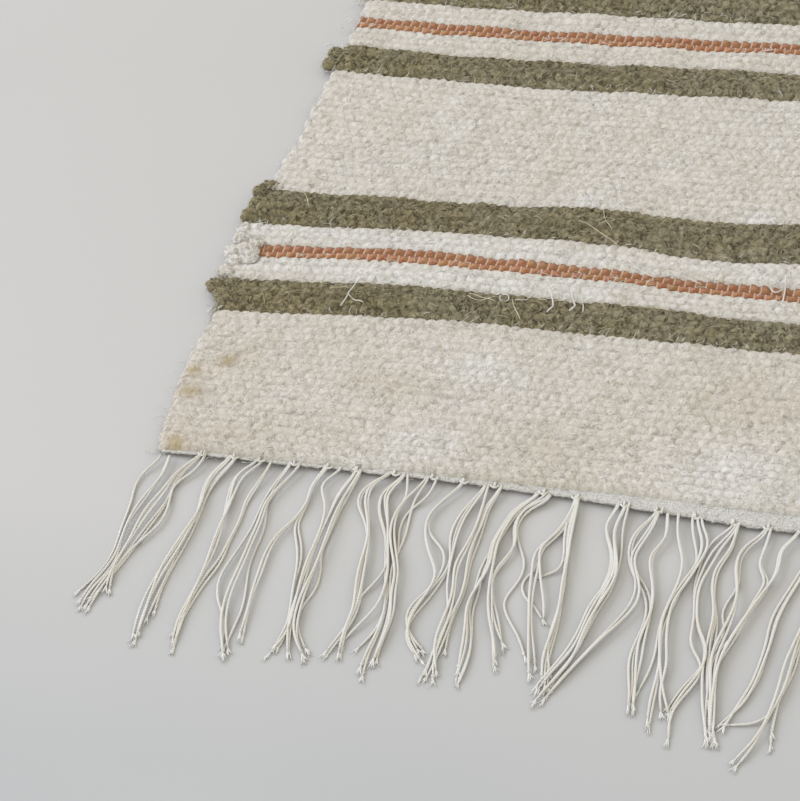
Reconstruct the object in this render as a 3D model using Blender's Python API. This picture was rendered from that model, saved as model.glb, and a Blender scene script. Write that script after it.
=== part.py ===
# A small hemp rug, woven in bands of cream, olive and orange yarn, lying on the floor.
# Its warp ends leave a thin woven heading at each end and lie on the floor as a fringe of knotted bundles.
# X runs across the rug, Y along its warp, and Z is up. The origin is on the floor, under its middle.

import math

import bmesh
import bpy
from mathutils import Vector

MM = 0.001

# The woven cloth
WIDTH = 600 * MM
END_BAND = 90 * MM
WIDE_BAND = 85.5 * MM
GROUPS = 5
EDGE_THICK = 5.0 * MM
CREAM_THICK = 6.4 * MM
OLIVE_THICK = 7.4 * MM
ORANGE_THICK = 5.4 * MM
COLUMNS = 12
TUFT_OUT = 2.5 * MM
SELVEDGE_INSET = 5 * MM
# How much a selvedge is rounded off above and below, as a share of the thickness
RIM_ROUNDING = 0.2
# The rows of points inside a wide band, and inside a narrow one
WIDE_ROWS = 3
NARROW_ROWS = 1

# One group of stripes from front to back: the yarn, the stripe's width and the cloth's thickness there
STRIPES = (
    ("olive", 19.0 * MM, OLIVE_THICK),
    ("cream", 14.0 * MM, CREAM_THICK),
    ("orange", 7.6 * MM, ORANGE_THICK),
    ("cream", 13.6 * MM, CREAM_THICK),
    ("olive", 22.0 * MM, OLIVE_THICK),
)
GROUP_WIDTH = sum(width for _, width, _ in STRIPES)
LENGTH = 2 * END_BAND + GROUPS * GROUP_WIDTH + (GROUPS - 1) * WIDE_BAND

# How far a selvedge stands out: the distance along it from its own corner, then the distance out, in mm
SELVEDGE = (
    (0, -1.5),
    (12, 1.0),
    (50, 3.7),
    (85, 2.0),
    (130, 6.3),
    (157, 4.0),
    (186, 1.7),
    (203, -1.5),
    (258, -3.0),
    (285, -4.5),
    (400, 1.0),
    (560, 2.5),
    (720, -1.0),
    (903, 0.0),
)

# How far an end of the cloth bows out, at a distance from its own left corner, in mm
END_BOW = (
    (0, -2.4),
    (45, -3.4),
    (89, -5.0),
    (133, -6.1),
    (180, -6.3),
    (250, -5.5),
    (330, -4.0),
    (460, -2.0),
    (600, -1.2),
)
BOW_DEPTH = 70 * MM

# How far towards the back the stripes wander, at a distance from the left, in mm.
# The front group of stripes wanders by all of it, and the others by a share.
WANDER = (
    (0, -4.2),
    (25, -2.6),
    (50, -0.6),
    (80, 1.2),
    (115, 2.2),
    (185, 1.3),
    (215, -0.4),
    (240, -0.6),
    (270, 0.8),
    (330, 1.0),
    (420, -0.5),
    (600, 0.0),
)
WANDER_SHARE = 0.45
WANDER_FULL = (90 * MM, 166 * MM)
WANDER_FADE = 75 * MM

# Where the cloth stands off the floor, from the front left corner:
# the middle across and along, the height, and the reach across and along, in mm
RIPPLES = (
    (40, 0, 2.2, 70, 38),
    (125, 0, 1.9, 75, 32),
    (215, 0, 1.9, 75, 30),
    (300, 0, 1.6, 70, 28),
    (262, 137, 2.4, 62, 16),
    (395, 0, 1.8, 66, 28),
    (505, 0, 2.6, 72, 32),
    (430, 330, 2.6, 96, 42),
    (150, 640, 2.8, 110, 38),
    (440, 770, 2.2, 84, 44),
    (90, 903, 2.6, 60, 34),
    (330, 903, 2.0, 62, 30),
    (545, 903, 3.0, 52, 34),
)

# The heading, a thin plain weave that holds the warp ends
HEADING_GAP = 0.3 * MM
HEADING_THICK = 1.8 * MM
HEADING_CLEAR = 0.3 * MM
HEADING_INSET = 3 * MM
# How far the heading shows past the cloth, at a distance from the rug's left, in mm
HEADING_SHOWS = (
    (0, 1.2),
    (90, 1.4),
    (140, 2.2),
    (176, 3.0),
    (197, 4.0),
    (218, 5.6),
    (260, 7.2),
    (280, 6.9),
    (330, 5.2),
    (420, 3.4),
    (600, 2.0),
)

# The fringe
BUNDLES = 40
BUNDLE_PITCH = WIDTH / BUNDLES
LOCKS = 3
LOCK_WIDE = 1.9 * MM
LOCK_HIGH = 1.7 * MM
ROOT_SPACING = 3.3 * MM
KNOT_SPACING = 2.4 * MM
LOOSE_SPACING = 2.9 * MM
TIP_SPACING = 2.6 * MM
ROOT_DEPTH = 1.0 * MM
ROOT_RAISED = 0.45 * MM
SWAY = 1.9 * MM
SWAY_TURN = 0.9
SWAY_TURN_BACK = 2.0
# A lock's stations: the share of its reach, the spacing from its neighbour,
# and the share of the root's height above the floor
STATIONS = (
    (0.0, ROOT_SPACING, 1.0),
    (0.1, KNOT_SPACING, 0.6),
    (0.35, LOOSE_SPACING, 0.0),
    (0.68, LOOSE_SPACING, 0.0),
    (1.0, TIP_SPACING, 0.0),
)
# The bundles of the front end's left half, from the left: how far each leans across by its tip,
# and how far it reaches over the floor, in mm. The right half mirrors them.
BUNDLE_LAYS = (
    (-16, 81),
    (-22, 82),
    (-11, 95),
    (-9, 97),
    (-3, 97),
    (10, 91),
    (14, 95),
    (14, 93),
    (22, 92),
    (19, 88),
    (14, 95),
    (10, 94),
    (4, 90),
    (-2, 92),
    (12, 96),
    (9, 97),
    (11, 100),
    (6, 104),
    (-1, 104),
    (-4, 102),
)


def bands():
    """The bands of the cloth from front to back: where each starts and ends, and how thick it is."""
    rows = [(0.0, END_BAND, CREAM_THICK)]
    for group in range(GROUPS):
        for _, width, thick in STRIPES:
            start = rows[-1][1]
            rows.append((start, start + width, thick))
        start = rows[-1][1]
        last = group == GROUPS - 1
        rows.append((start, start + (END_BAND if last else WIDE_BAND), CREAM_THICK))
    return rows


def read_table(table, at):
    """The value of a two-column table at a distance in metres, eased from row to row, in metres."""
    at = min(max(at / MM, table[0][0]), table[-1][0])
    for (start, low), (end, high) in zip(table, table[1:]):
        if at <= end:
            break
    share = (at - start) / (end - start)
    ease = share * share * (3 - 2 * share)
    return (low + (high - low) * ease) * MM


def bow(across, along):
    """How far towards the back a point moves, because its end of the cloth bows out."""
    front = max(0.0, 1 - along / BOW_DEPTH) ** 2
    back = max(0.0, 1 - (LENGTH - along) / BOW_DEPTH) ** 2
    return read_table(END_BOW, WIDTH - across) * back - read_table(END_BOW, across) * front


def wander(across, along):
    """How far towards the back a point moves, because the picks don't lie straight. The ends stay."""
    away = max(WANDER_FULL[0] - along, along - WANDER_FULL[1], 0.0)
    near = max(0.0, 1 - away / WANDER_FADE)
    inside = min(1.0, along / END_BAND, (LENGTH - along) / END_BAND)
    return read_table(WANDER, across) * max(near, WANDER_SHARE) * inside


def lift(across, along):
    """How high the underside stands off the floor, at a distance from the left and from the front."""
    height = 0.0
    for middle_x, middle_y, high, reach_x, reach_y in RIPPLES:
        away = math.hypot((across / MM - middle_x) / reach_x, (along / MM - middle_y) / reach_y)
        if away < 1:
            height += high * MM * (1 + math.cos(math.pi * away)) / 2
    return height


def in_olive(along):
    """Whether a distance from the front lies in an olive band."""
    return any(start < along < end and thick == OLIVE_THICK for start, end, thick in bands())


def cloth_rows():
    """The cloth's rows of points: how far along each lies, and how thick the cloth is there."""
    rows = [(0.0, EDGE_THICK)]
    for start, end, thick in bands():
        inner = WIDE_ROWS if end - start >= WIDE_BAND else NARROW_ROWS
        for step in range(inner):
            rows.append((start + (end - start) * (step + 0.5) / inner, thick))
        rows.append((end, EDGE_THICK))
    return rows


def cloth_columns(along):
    """The cloth's points across one row, as distances from the left, with uneven selvedges."""
    tuft = TUFT_OUT if in_olive(along) else 0.0
    left = -read_table(SELVEDGE, along) - tuft
    right = WIDTH + read_table(SELVEDGE, LENGTH - along) + tuft
    inner = [
        left + SELVEDGE_INSET + (right - left - 2 * SELVEDGE_INSET) * step / (COLUMNS - 2)
        for step in range(COLUMNS - 1)
    ]
    return [left, *inner, right]


def end_edge(across, back):
    """Where an end of the cloth lies along the rug. It runs straight between the cloth's own points."""
    along = LENGTH if back else 0.0
    columns = [min(max(column, 0.0), WIDTH) for column in cloth_columns(along)]
    bows = [bow(column, along) for column in columns]
    for start, end, low, high in zip(columns, columns[1:], bows, bows[1:]):
        if across <= end:
            break
    return along + low + (high - low) * (across - start) / (end - start)


def place(across, along, height):
    """A point in the rug's own frame from its distances from the left, the front and the floor."""
    return Vector((across - WIDTH / 2, along - LENGTH / 2, height))


def material(name, colour, roughness):
    """A plain matt yarn."""
    made = bpy.data.materials.new(name)
    made.use_nodes = True
    shader = made.node_tree.nodes["Principled BSDF"]
    shader.inputs["Base Color"].default_value = (*colour, 1.0)
    shader.inputs["Roughness"].default_value = roughness
    shader.inputs["Metallic"].default_value = 0.0
    return made


def add_object(name, work, finish):
    """Turns a bmesh into a named object with its material."""
    bmesh.ops.recalc_face_normals(work, faces=work.faces)
    mesh = bpy.data.meshes.new(name)
    work.to_mesh(mesh)
    work.free()
    mesh.materials.append(finish)
    made = bpy.data.objects.new(name, mesh)
    bpy.context.scene.collection.objects.link(made)
    return made


def make_cloth(finish):
    """The woven cloth: one mat with crowned bands, uneven selvedges and soft ripples."""
    rows = cloth_rows()
    work = bmesh.new()
    bmesh.ops.create_grid(work, x_segments=COLUMNS, y_segments=len(rows) - 1, size=1.0)
    order = sorted(work.verts, key=lambda vert: (round(vert.co.y, 5), vert.co.x))
    grown = bmesh.ops.extrude_face_region(work, geom=work.faces[:])["geom"]
    tops = [item for item in grown if isinstance(item, bmesh.types.BMVert)]
    above = {(round(vert.co.x, 5), round(vert.co.y, 5)): vert for vert in tops}
    over = [above[(round(vert.co.x, 5), round(vert.co.y, 5))] for vert in order]
    for row, (along, thick) in enumerate(rows):
        columns = cloth_columns(along)
        for column, across in enumerate(columns):
            number = row * len(columns) + column
            rim = column in (0, COLUMNS)
            low = lift(across, along)
            held = min(max(across, 0.0), WIDTH)
            bent = along + bow(held, along) + wander(held, along)
            rounding = thick * RIM_ROUNDING if rim else 0.0
            order[number].co = place(across, bent, low + rounding)
            over[number].co = place(across, bent, low + thick - 2 * rounding)
    return add_object("woven_cloth", work, finish)


def heading_section(across, back):
    """The heading's four corners at one distance from the left, outer edge first."""
    shows = read_table(HEADING_SHOWS, WIDTH - across if back else across)
    low = lift(across, LENGTH if back else 0.0) + HEADING_CLEAR
    reach = (HEADING_GAP + shows, HEADING_GAP)
    alongs = [end_edge(across, back) + (out if back else -out) for out in reach]
    outer, inner = alongs
    return [
        place(across, outer, low),
        place(across, outer, low + HEADING_THICK),
        place(across, inner, low + HEADING_THICK),
        place(across, inner, low),
    ]


def grow(work, sections):
    """Extrudes a closed bar through its cross-sections, which all have the same number of corners."""
    cap = work.faces.new([work.verts.new(corner) for corner in sections[0]])
    for before, after in zip(sections, sections[1:]):
        grown = bmesh.ops.extrude_face_region(work, geom=[cap, *cap.edges])["geom"]
        cap = next(item for item in grown if isinstance(item, bmesh.types.BMFace))
        for vert in cap.verts:
            nearest = min(range(len(before)), key=lambda corner: (vert.co - before[corner]).length)
            vert.co = after[nearest]


def lay_of(bundle, back):
    """How far a bundle leans across by its tip, and how far it reaches over the floor."""
    number = BUNDLES - 1 - bundle if back else bundle
    mirrored = number >= len(BUNDLE_LAYS)
    lean, reach = BUNDLE_LAYS[BUNDLES - 1 - number if mirrored else number]
    return (-lean if mirrored != back else lean) * MM, reach * MM


def sway_of(bundle, share, back):
    """The slow wave that a bundle makes to its side, at a share of its reach."""
    turn = SWAY_TURN * bundle + (SWAY_TURN_BACK if back else 0.0)
    return SWAY * math.sin(math.pi * share) * math.sin(2 * math.pi * share + turn)


def lock_route(bundle, lock, back):
    """The middle of a lock's flat underside, from inside the heading to the tip on the floor."""
    root = BUNDLE_PITCH * (bundle + 0.5)
    side = lock - (LOCKS - 1) / 2
    shows = read_table(HEADING_SHOWS, WIDTH - root if back else root)
    raised = lift(root, LENGTH if back else 0.0) + HEADING_CLEAR + ROOT_RAISED
    bowed = end_edge(root, back) - LENGTH if back else -end_edge(root, back)
    start = HEADING_GAP + shows - ROOT_DEPTH + bowed
    lean, reach = lay_of(bundle, back)
    route = []
    for share, spacing, high in STATIONS:
        across = root + lean * share + sway_of(bundle, share, back) + side * spacing
        out = start + (reach - start) * share
        route.append(place(across, LENGTH + out if back else -out, raised * high))
    return route


def lock_sections(route):
    """The lock's cross-sections: triangles on their flat side, square to the way that the lock runs."""
    sections = []
    for number, point in enumerate(route):
        ahead = route[min(number + 1, len(route) - 1)] - route[max(number - 1, 0)]
        side = Vector((ahead.y, -ahead.x, 0.0)).normalized() * LOCK_WIDE / 2
        sections.append([point + side, point - side, point + Vector((0.0, 0.0, LOCK_HIGH))])
    return sections


def make_fringe(name, finish, back):
    """One end's heading with its bundles of locks grown into it."""
    step = (WIDTH - 2 * HEADING_INSET) / BUNDLES
    strip = bmesh.new()
    grow(strip, [heading_section(HEADING_INSET + step * number, back) for number in range(BUNDLES + 1)])
    heading = add_object(name, strip, finish)
    bars = bmesh.new()
    for bundle in range(BUNDLES):
        for lock in range(LOCKS):
            grow(bars, lock_sections(lock_route(bundle, lock, back)))
    bmesh.ops.triangulate(bars, faces=bars.faces[:])
    locks = add_object(name + "_locks", bars, finish)
    locks.hide_render = True
    locks.display_type = "WIRE"
    join = heading.modifiers.new("grown in", "BOOLEAN")
    join.operation = "UNION"
    join.solver = "EXACT"
    join.object = locks
    return heading


def main():
    for old in list(bpy.data.objects):
        bpy.data.objects.remove(old)
    hemp = material("cream hemp", (0.62, 0.58, 0.51), 0.95)
    yarn = material("white warp yarn", (0.66, 0.65, 0.61), 0.9)
    make_cloth(hemp)
    make_fringe("fringe_front", yarn, back=False)
    make_fringe("fringe_back", yarn, back=True)


main()
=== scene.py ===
# %% [markdown]
# # A hand-woven hemp rug, lying on a pale floor
# The solids of this rug are already made, and this lesson dresses them. The cloth's solid gives way to a
# woven surface with its beads of yarn and its fuzz, and the two plain fringes give way to plied yarns.
# Everything is in metres, with X across the rug, Y along its warp and Z up.

import math
from collections import namedtuple

import bmesh
import bpy
import numpy as np
from mathutils import Matrix, Vector


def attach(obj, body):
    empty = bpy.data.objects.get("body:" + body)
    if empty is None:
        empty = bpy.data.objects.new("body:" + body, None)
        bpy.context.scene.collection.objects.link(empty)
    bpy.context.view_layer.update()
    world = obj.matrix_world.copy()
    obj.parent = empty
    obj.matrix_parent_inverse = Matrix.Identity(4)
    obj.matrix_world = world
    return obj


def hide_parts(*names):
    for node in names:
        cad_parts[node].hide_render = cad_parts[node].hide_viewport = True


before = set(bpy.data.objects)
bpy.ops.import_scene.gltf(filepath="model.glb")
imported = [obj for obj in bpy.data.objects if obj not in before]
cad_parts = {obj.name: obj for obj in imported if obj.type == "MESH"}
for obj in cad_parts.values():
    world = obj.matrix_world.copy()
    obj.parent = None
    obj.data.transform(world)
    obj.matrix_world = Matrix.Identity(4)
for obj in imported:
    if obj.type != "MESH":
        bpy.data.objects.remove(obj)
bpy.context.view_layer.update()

# %% [markdown]
# ## The rug's own measures
# A weaver counts in picks, the rows of weft, and in beads, the places where a pick passes over the warp.
# The rug's stripes are written down as bands of one yarn each, in the same order and widths as in the
# solids.

# %% Measures of the cloth
MM = 0.001
WIDTH = 600 * MM
END_BAND = 90 * MM
WIDE_BAND = 85.5 * MM
GROUPS = 5
BEADS = 126
# One group of stripes: the yarn, the stripe's width and its number of picks
STRIPES = (
    ("olive", 19.0 * MM, 4),
    ("cream", 14.0 * MM, 3),
    ("orange", 7.6 * MM, 2),
    ("cream", 13.6 * MM, 3),
    ("olive", 22.0 * MM, 5),
)
END_PICKS = 20
WIDE_PICKS = 19
# A yarn: the cloth's thickness where it lies, how high its beads stand, how far odd picks step aside
# in beads, how unevenly it lies, and how far its turns stand out at the selvedges
Yarn = namedtuple("Yarn", "thick stand aside rough loops")
YARNS = {
    "cream": Yarn(6.4 * MM, 0.6 * MM, 0.25, 0.36 * MM, 1.5 * MM),
    "olive": Yarn(7.4 * MM, 0.5 * MM, 0.25, 0.7 * MM, 1.8 * MM),
    "orange": Yarn(5.4 * MM, 0.8 * MM, 0.25, 0.05 * MM, 0.2 * MM),
}
# Faces for each bead and each pick of the woven face
STEPS = 3
EDGE_THICK = 5.0 * MM


def list_bands():
    """The bands from front to back: yarn, where it starts and ends, and its number of picks."""
    rows = [("cream", 0.0, END_BAND, END_PICKS)]
    for group in range(GROUPS):
        for yarn, width, picks in STRIPES:
            rows.append((yarn, rows[-1][2], rows[-1][2] + width, picks))
        last = group == GROUPS - 1
        width, picks = (END_BAND, END_PICKS) if last else (WIDE_BAND, WIDE_PICKS)
        rows.append(("cream", rows[-1][2], rows[-1][2] + width, picks))
    return rows


BANDS = list_bands()
LENGTH = BANDS[-1][2]
PICKS = sum(band[3] for band in BANDS)
print(len(BANDS), "bands,", PICKS, "picks, length", round(LENGTH, 4))

# %% [markdown]
# ## Where the camera stands
# The camera looks down across the near left corner from the front right, tipped a little to the left. Its
# three turns, its distance and the point that it looks at were worked out from the weave's own grid in
# the photograph.

# %% Camera
CAMERA_AIM = Vector((-0.3 + 0.1002, -LENGTH / 2 + 0.0414, 0.006))
CAMERA_AWAY = 1.0932
CAMERA_DIP = 0.80780
CAMERA_ROLL = -0.22376
CAMERA_TURN = -0.44591
CAMERA_LENS = 114.6
ahead = Vector((math.sin(CAMERA_TURN), math.cos(CAMERA_TURN), 0.0))
level = Vector((math.cos(CAMERA_TURN), -math.sin(CAMERA_TURN), 0.0))
look = ahead * math.cos(CAMERA_DIP) + Vector((0, 0, -math.sin(CAMERA_DIP)))
rise = ahead * math.sin(CAMERA_DIP) + Vector((0, 0, math.cos(CAMERA_DIP)))
right = level * math.cos(CAMERA_ROLL) + rise * math.sin(CAMERA_ROLL)
above = rise * math.cos(CAMERA_ROLL) - level * math.sin(CAMERA_ROLL)
camera = bpy.data.objects.new("camera", bpy.data.cameras.new("camera"))
camera.data.lens = CAMERA_LENS
camera.data.sensor_width = 36
camera.matrix_world = Matrix.Translation(CAMERA_AIM - look * CAMERA_AWAY) @ Matrix(
    (right, above, -look)
).transposed().to_4x4()
bpy.context.scene.collection.objects.link(camera)
bpy.context.scene.camera = camera
print("camera at", [round(value, 3) for value in camera.matrix_world.translation])

# %% [markdown]
# ## Helpers for uneven things
# Hand-made cloth is never quite regular. Short tables give the larger bends of the edges, much as in the
# solids. A sum of a few long waves gives slow unevenness that is the same in each run, and a seeded
# generator gives the rest.

# %% Tables and slow waves
SELVEDGE = np.array(
    [
        (0, -1.5),
        (12, 1.0),
        (50, 3.7),
        (85, 2.0),
        (130, 6.3),
        (157, 4.0),
        (186, 1.7),
        (203, -1.5),
        (258, -3.0),
        (285, -4.5),
        (400, 1.0),
        (560, 2.5),
        (720, -1.0),
        (903, 0.0),
    ]
)
NEAR_EDGE = np.array(
    [
        (0, -1.7),
        (45, -2.1),
        (89, -3.6),
        (133, -4.5),
        (180, -5.3),
        (250, -5.4),
        (330, -4.0),
        (460, -2.0),
        (600, -1.2),
    ]
)
BOW_DEPTH = 70 * MM
# How far towards the back the picks wander, in mm. The first row holds distances from the left.
# Each row after it starts with a distance from the front.
WANDER = np.array(
    [
        (0, 0, 25, 50, 75, 100, 125, 150, 175, 200, 225, 260, 330, 600),
        (0, 0, 0, 0, 0, 0, 0, 0, 0, 0, 0, 0, 0, 0),
        (90, -6, -5, -2, 0, 1.4, 2.5, 2.2, 1.6, 1.9, 2.1, 2.0, 0.8, 0),
        (109, -4, -2.5, -0.6, 0.8, 0.8, 1.8, 1.7, 1.6, 2.2, 0, 0.8, 0.5, 0),
        (130, -4, -1.6, 0.5, 2.3, 2.7, 2.2, 1.5, 1.4, -0.6, -1.7, -1.8, -0.5, 0),
        (144, -3.2, -2.1, -0.4, 1.6, 2, 2.6, 2.8, 2.8, 0, -1.6, 0.4, 0.3, 0),
        (166, -2.2, -2.2, -1.1, -0.6, 0.2, 1, 3, 2.6, 1.3, 1.8, 4.4, 2, 0),
        (252, 0.5, -1.5, -3.2, -3.5, -3.7, -3.3, -2.6, -2, -1.2, -0.2, 0.5, 0, 0),
        (340, 0, 0, 0, 0, 0, 0, 0, 0, 0, 0, 0, 0, 0),
        (903, 0, 0, 0, 0, 0, 0, 0, 0, 0, 0, 0, 0, 0),
    ]
)
RIPPLES = (
    (40, 0, 2.2, 70, 38),
    (125, 0, 1.9, 75, 32),
    (215, 0, 1.9, 75, 30),
    (300, 0, 1.6, 70, 28),
    (262, 137, 2.4, 62, 16),
    (395, 0, 1.8, 66, 28),
    (505, 0, 2.6, 72, 32),
    (430, 330, 2.6, 96, 42),
    (150, 640, 2.8, 110, 38),
    (440, 770, 2.2, 84, 44),
    (90, 903, 2.6, 60, 34),
    (330, 903, 2.0, 62, 30),
    (545, 903, 3.0, 52, 34),
)


def read_table(table, at):
    """A table's value at distances in metres, eased from row to row, in metres."""
    at = np.clip(np.asarray(at, dtype=float) / MM, table[0, 0], table[-1, 0])
    row = np.clip(np.searchsorted(table[:, 0], at) - 1, 0, len(table) - 2)
    share = (at - table[row, 0]) / (table[row + 1, 0] - table[row, 0])
    ease = share * share * (3 - 2 * share)
    return (table[row, 1] + (table[row + 1, 1] - table[row, 1]) * ease) * MM


def lift(across, along):
    """How high the underside stands off the floor, at distances from the left and from the front."""
    height = np.zeros(np.broadcast(across, along).shape)
    for middle_x, middle_y, high, reach_x, reach_y in RIPPLES:
        away = np.hypot((across / MM - middle_x) / reach_x, (along / MM - middle_y) / reach_y)
        height += high * MM * (1 + np.cos(np.pi * np.minimum(away, 1))) / 2
    return height


def near_edge(across):
    """How far the front edge bows out, at distances from the left."""
    return read_table(NEAR_EDGE, across)


def bow(across, along):
    """How far towards the back a point moves, because its end of the cloth bows out."""
    front = np.clip(1 - along / BOW_DEPTH, 0, 1) ** 2
    back = np.clip(1 - (LENGTH - along) / BOW_DEPTH, 0, 1) ** 2
    return near_edge(WIDTH - across) * back - near_edge(across) * front


def wander(across, along):
    """How far towards the back a point moves, because the picks don't lie straight."""
    across, along = np.broadcast_arrays(across / MM, along / MM)
    across_at, along_at = WANDER[0, 1:], WANDER[1:, 0]
    column = np.clip(np.searchsorted(across_at, across) - 1, 0, len(across_at) - 2)
    row = np.clip(np.searchsorted(along_at, along) - 1, 0, len(along_at) - 2)
    right_share = np.clip((across - across_at[column]) / (across_at[column + 1] - across_at[column]), 0, 1)
    back_share = np.clip((along - along_at[row]) / (along_at[row + 1] - along_at[row]), 0, 1)
    shift = WANDER[1:, 1:]
    near = shift[row, column] * (1 - right_share) + shift[row, column + 1] * right_share
    far = shift[row + 1, column] * (1 - right_share) + shift[row + 1, column + 1] * right_share
    return (near * (1 - back_share) + far * back_share) * MM


def shifted(across, along):
    """Where points that count from straight ends and picks really lie along the rug."""
    return along + bow(across, along) + wander(across, along)


def slow_wave(across, along, size, seed, waves=9):
    """Smooth unevenness from about -1 to 1, with hollows and swells of about the given size."""
    dice = np.random.default_rng(seed)
    total = np.zeros(np.broadcast(across, along).shape)
    for _ in range(waves):
        heading = dice.uniform(0, 2 * np.pi)
        length = size * dice.uniform(0.7, 1.6)
        turn = dice.uniform(0, 2 * np.pi)
        total += np.sin(2 * np.pi * (across * np.cos(heading) + along * np.sin(heading)) / length + turn)
    return total / math.sqrt(waves)


def add_piece(name, mesh, finish):
    """Links a mesh as a piece with its finish."""
    made = bpy.data.objects.new(name, mesh)
    bpy.context.scene.collection.objects.link(made)
    for item in finish if isinstance(finish, (list, tuple)) else [finish]:
        mesh.materials.append(item)
    return made


# %% [markdown]
# ## Yarn finishes
# A finish here is a small network of nodes. Noise in the rug's own coordinates gives the fibres and the
# blotches of hand-dyed yarn. Two attributes that the weave carries say how deep a point lies between the
# beads, and which shade its own bead has. Bump gives the fine relief that would need too many faces.

# %% Node helpers


class Network:
    """Adds and joins the nodes of one material."""

    def __init__(self, name, roughness=0.95, sheen=0.0):
        self.material = bpy.data.materials.new(name)
        self.material.use_nodes = True
        self.nodes = self.material.node_tree.nodes
        self.shader = self.nodes["Principled BSDF"]
        self.shader.inputs["Roughness"].default_value = roughness
        self.shader.inputs["Specular IOR Level"].default_value = 0.2
        self.shader.inputs["Sheen Weight"].default_value = sheen
        self.shader.inputs["Sheen Roughness"].default_value = 0.5
        self.place = self.add("ShaderNodeTexCoord").outputs["Object"]

    def add(self, kind, **settings):
        """A new node with its settings."""
        node = self.nodes.new(kind)
        for key, value in settings.items():
            setattr(node, key, value)
        return node

    def join(self, source, target):
        """Joins two sockets, or sets a plain value."""
        if isinstance(source, bpy.types.NodeSocket):
            self.material.node_tree.links.new(source, target)
        else:
            target.default_value = source

    def noise(self, scale, detail=2.0, rough=0.5, stretch=None, offset=0.0, curl=0.0):
        """A noise in the object's own coordinates, with features of about 1 / scale metres."""
        node = self.add("ShaderNodeTexNoise")
        node.inputs["Distortion"].default_value = curl
        node.inputs["Scale"].default_value = scale
        node.inputs["Detail"].default_value = detail
        node.inputs["Roughness"].default_value = rough
        where = self.place
        if stretch or offset:
            mapping = self.add("ShaderNodeMapping")
            mapping.inputs["Scale"].default_value = stretch or (1, 1, 1)
            mapping.inputs["Location"].default_value = (offset, offset, 0)
            self.join(where, mapping.inputs["Vector"])
            where = mapping.outputs["Vector"]
        self.join(where, node.inputs["Vector"])
        return node.outputs["Fac"]

    def axis(self, letter):
        """One of the object's own coordinates, in metres."""
        parts = self.add("ShaderNodeSeparateXYZ")
        self.join(self.place, parts.inputs[0])
        return parts.outputs[letter]

    def spread(self, value, low, high, to_low=0.0, to_high=1.0):
        """Spreads a value from one range over another, and keeps it there."""
        node = self.add("ShaderNodeMapRange")
        for key, number in zip(("From Min", "From Max", "To Min", "To Max"), (low, high, to_low, to_high)):
            node.inputs[key].default_value = number
        self.join(value, node.inputs["Value"])
        return node.outputs["Result"]

    def mix(self, factor, one, two, way="MIX"):
        """Mixes two colours."""
        node = self.add("ShaderNodeMix", data_type="RGBA", blend_type=way)
        self.join(factor, node.inputs[0])
        self.join((*one, 1) if isinstance(one, tuple) else one, node.inputs[6])
        self.join((*two, 1) if isinstance(two, tuple) else two, node.inputs[7])
        return node.outputs[2]

    def sum(self, one, two, way="ADD"):
        """Adds, multiplies or otherwise combines two numbers."""
        node = self.add("ShaderNodeMath", operation=way)
        self.join(one, node.inputs[0])
        self.join(two, node.inputs[1])
        return node.outputs[0]

    def carried(self, name):
        """A number that the mesh carries for each point."""
        return self.add("ShaderNodeAttribute", attribute_name=name).outputs["Fac"]

    def bump(self, height, distance, strength=1.0):
        """Relief from a height in shares of a distance in metres, on top of any relief before it."""
        node = self.add("ShaderNodeBump")
        node.inputs["Strength"].default_value = strength
        node.inputs["Distance"].default_value = distance
        self.join(height, node.inputs["Height"])
        if self.shader.inputs["Normal"].is_linked:
            self.join(self.shader.inputs["Normal"].links[0].from_socket, node.inputs["Normal"])
        self.join(node.outputs["Normal"], self.shader.inputs["Normal"])

    def colour(self, value):
        """Gives the shader its base colour."""
        self.join(value, self.shader.inputs["Base Color"])


# %% [markdown]
# Cream hemp is undyed, so its colour drifts from a warm white to grey and straw. Small pits open between
# its fibres, and painted shade darkens them and the hollows between the beads. The mesh carries where the
# rug has taken a tan or an ochre stain, and where it stayed whiter.

# %% Cream hemp


def make_cream():
    """Undyed weft yarn, soft and full of fine fibres."""
    net = Network("cream hemp", sheen=0.2)
    fibres = net.spread(net.noise(800, 4, 0.6, stretch=(1, 1.6, 1), curl=1.0), 0.32, 0.68)
    pebbles = net.spread(net.noise(300, 3, 0.55, offset=3.1, curl=1.2), 0.33, 0.67)
    pits = net.spread(net.noise(480, 2, 0.55, offset=9.4, curl=1.5), 0.57, 0.72)
    drift = net.spread(net.noise(26, 3, 0.5, offset=7.7), 0.35, 0.65)
    tone = net.mix(drift, (0.61, 0.575, 0.52), (0.63, 0.615, 0.575))
    tone = net.mix(net.spread(pebbles, 0, 1, 0.0, 0.35), tone, (0.52, 0.475, 0.41))
    tone = net.mix(net.spread(fibres, 0, 1, 0.0, 0.35), tone, (0.70, 0.685, 0.655))
    tone = net.mix(net.spread(net.carried("white"), 0, 1, 0.0, 0.7), tone, (0.71, 0.71, 0.70))
    tone = net.mix(net.spread(net.carried("tan"), 0, 1, 0.0, 0.45), tone, (0.53, 0.46, 0.385))
    # Painted shade: the pits are darkened as shade in the small hollows between the fibres
    tone = net.mix(net.spread(pits, 0, 1, 0.0, 0.5), tone, (0.36, 0.31, 0.235))
    # Painted shade: points low between the beads are darkened as shade in the crevices
    deep = net.spread(net.carried("depth"), 0.0, 0.6, 0.35, 0.0)
    tone = net.mix(deep, tone, (0.40, 0.35, 0.275))
    net.colour(net.mix(net.spread(net.carried("ochre"), 0, 1, 0.0, 0.75), tone, (0.38, 0.29, 0.13)))
    net.bump(net.sum(pebbles, pits, "SUBTRACT"), 0.8 * MM, 0.6)
    net.bump(fibres, 0.3 * MM, 0.6)
    return net.material


# %% [markdown]
# Olive yarn is loftier than the cream and blended from brown, green and straw fibres, so it looks like a
# short rough pelt. Its colour changes from bead to bead, and painted shade darkens its hollows and the
# spaces between its beads.

# %% Olive hemp


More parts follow.
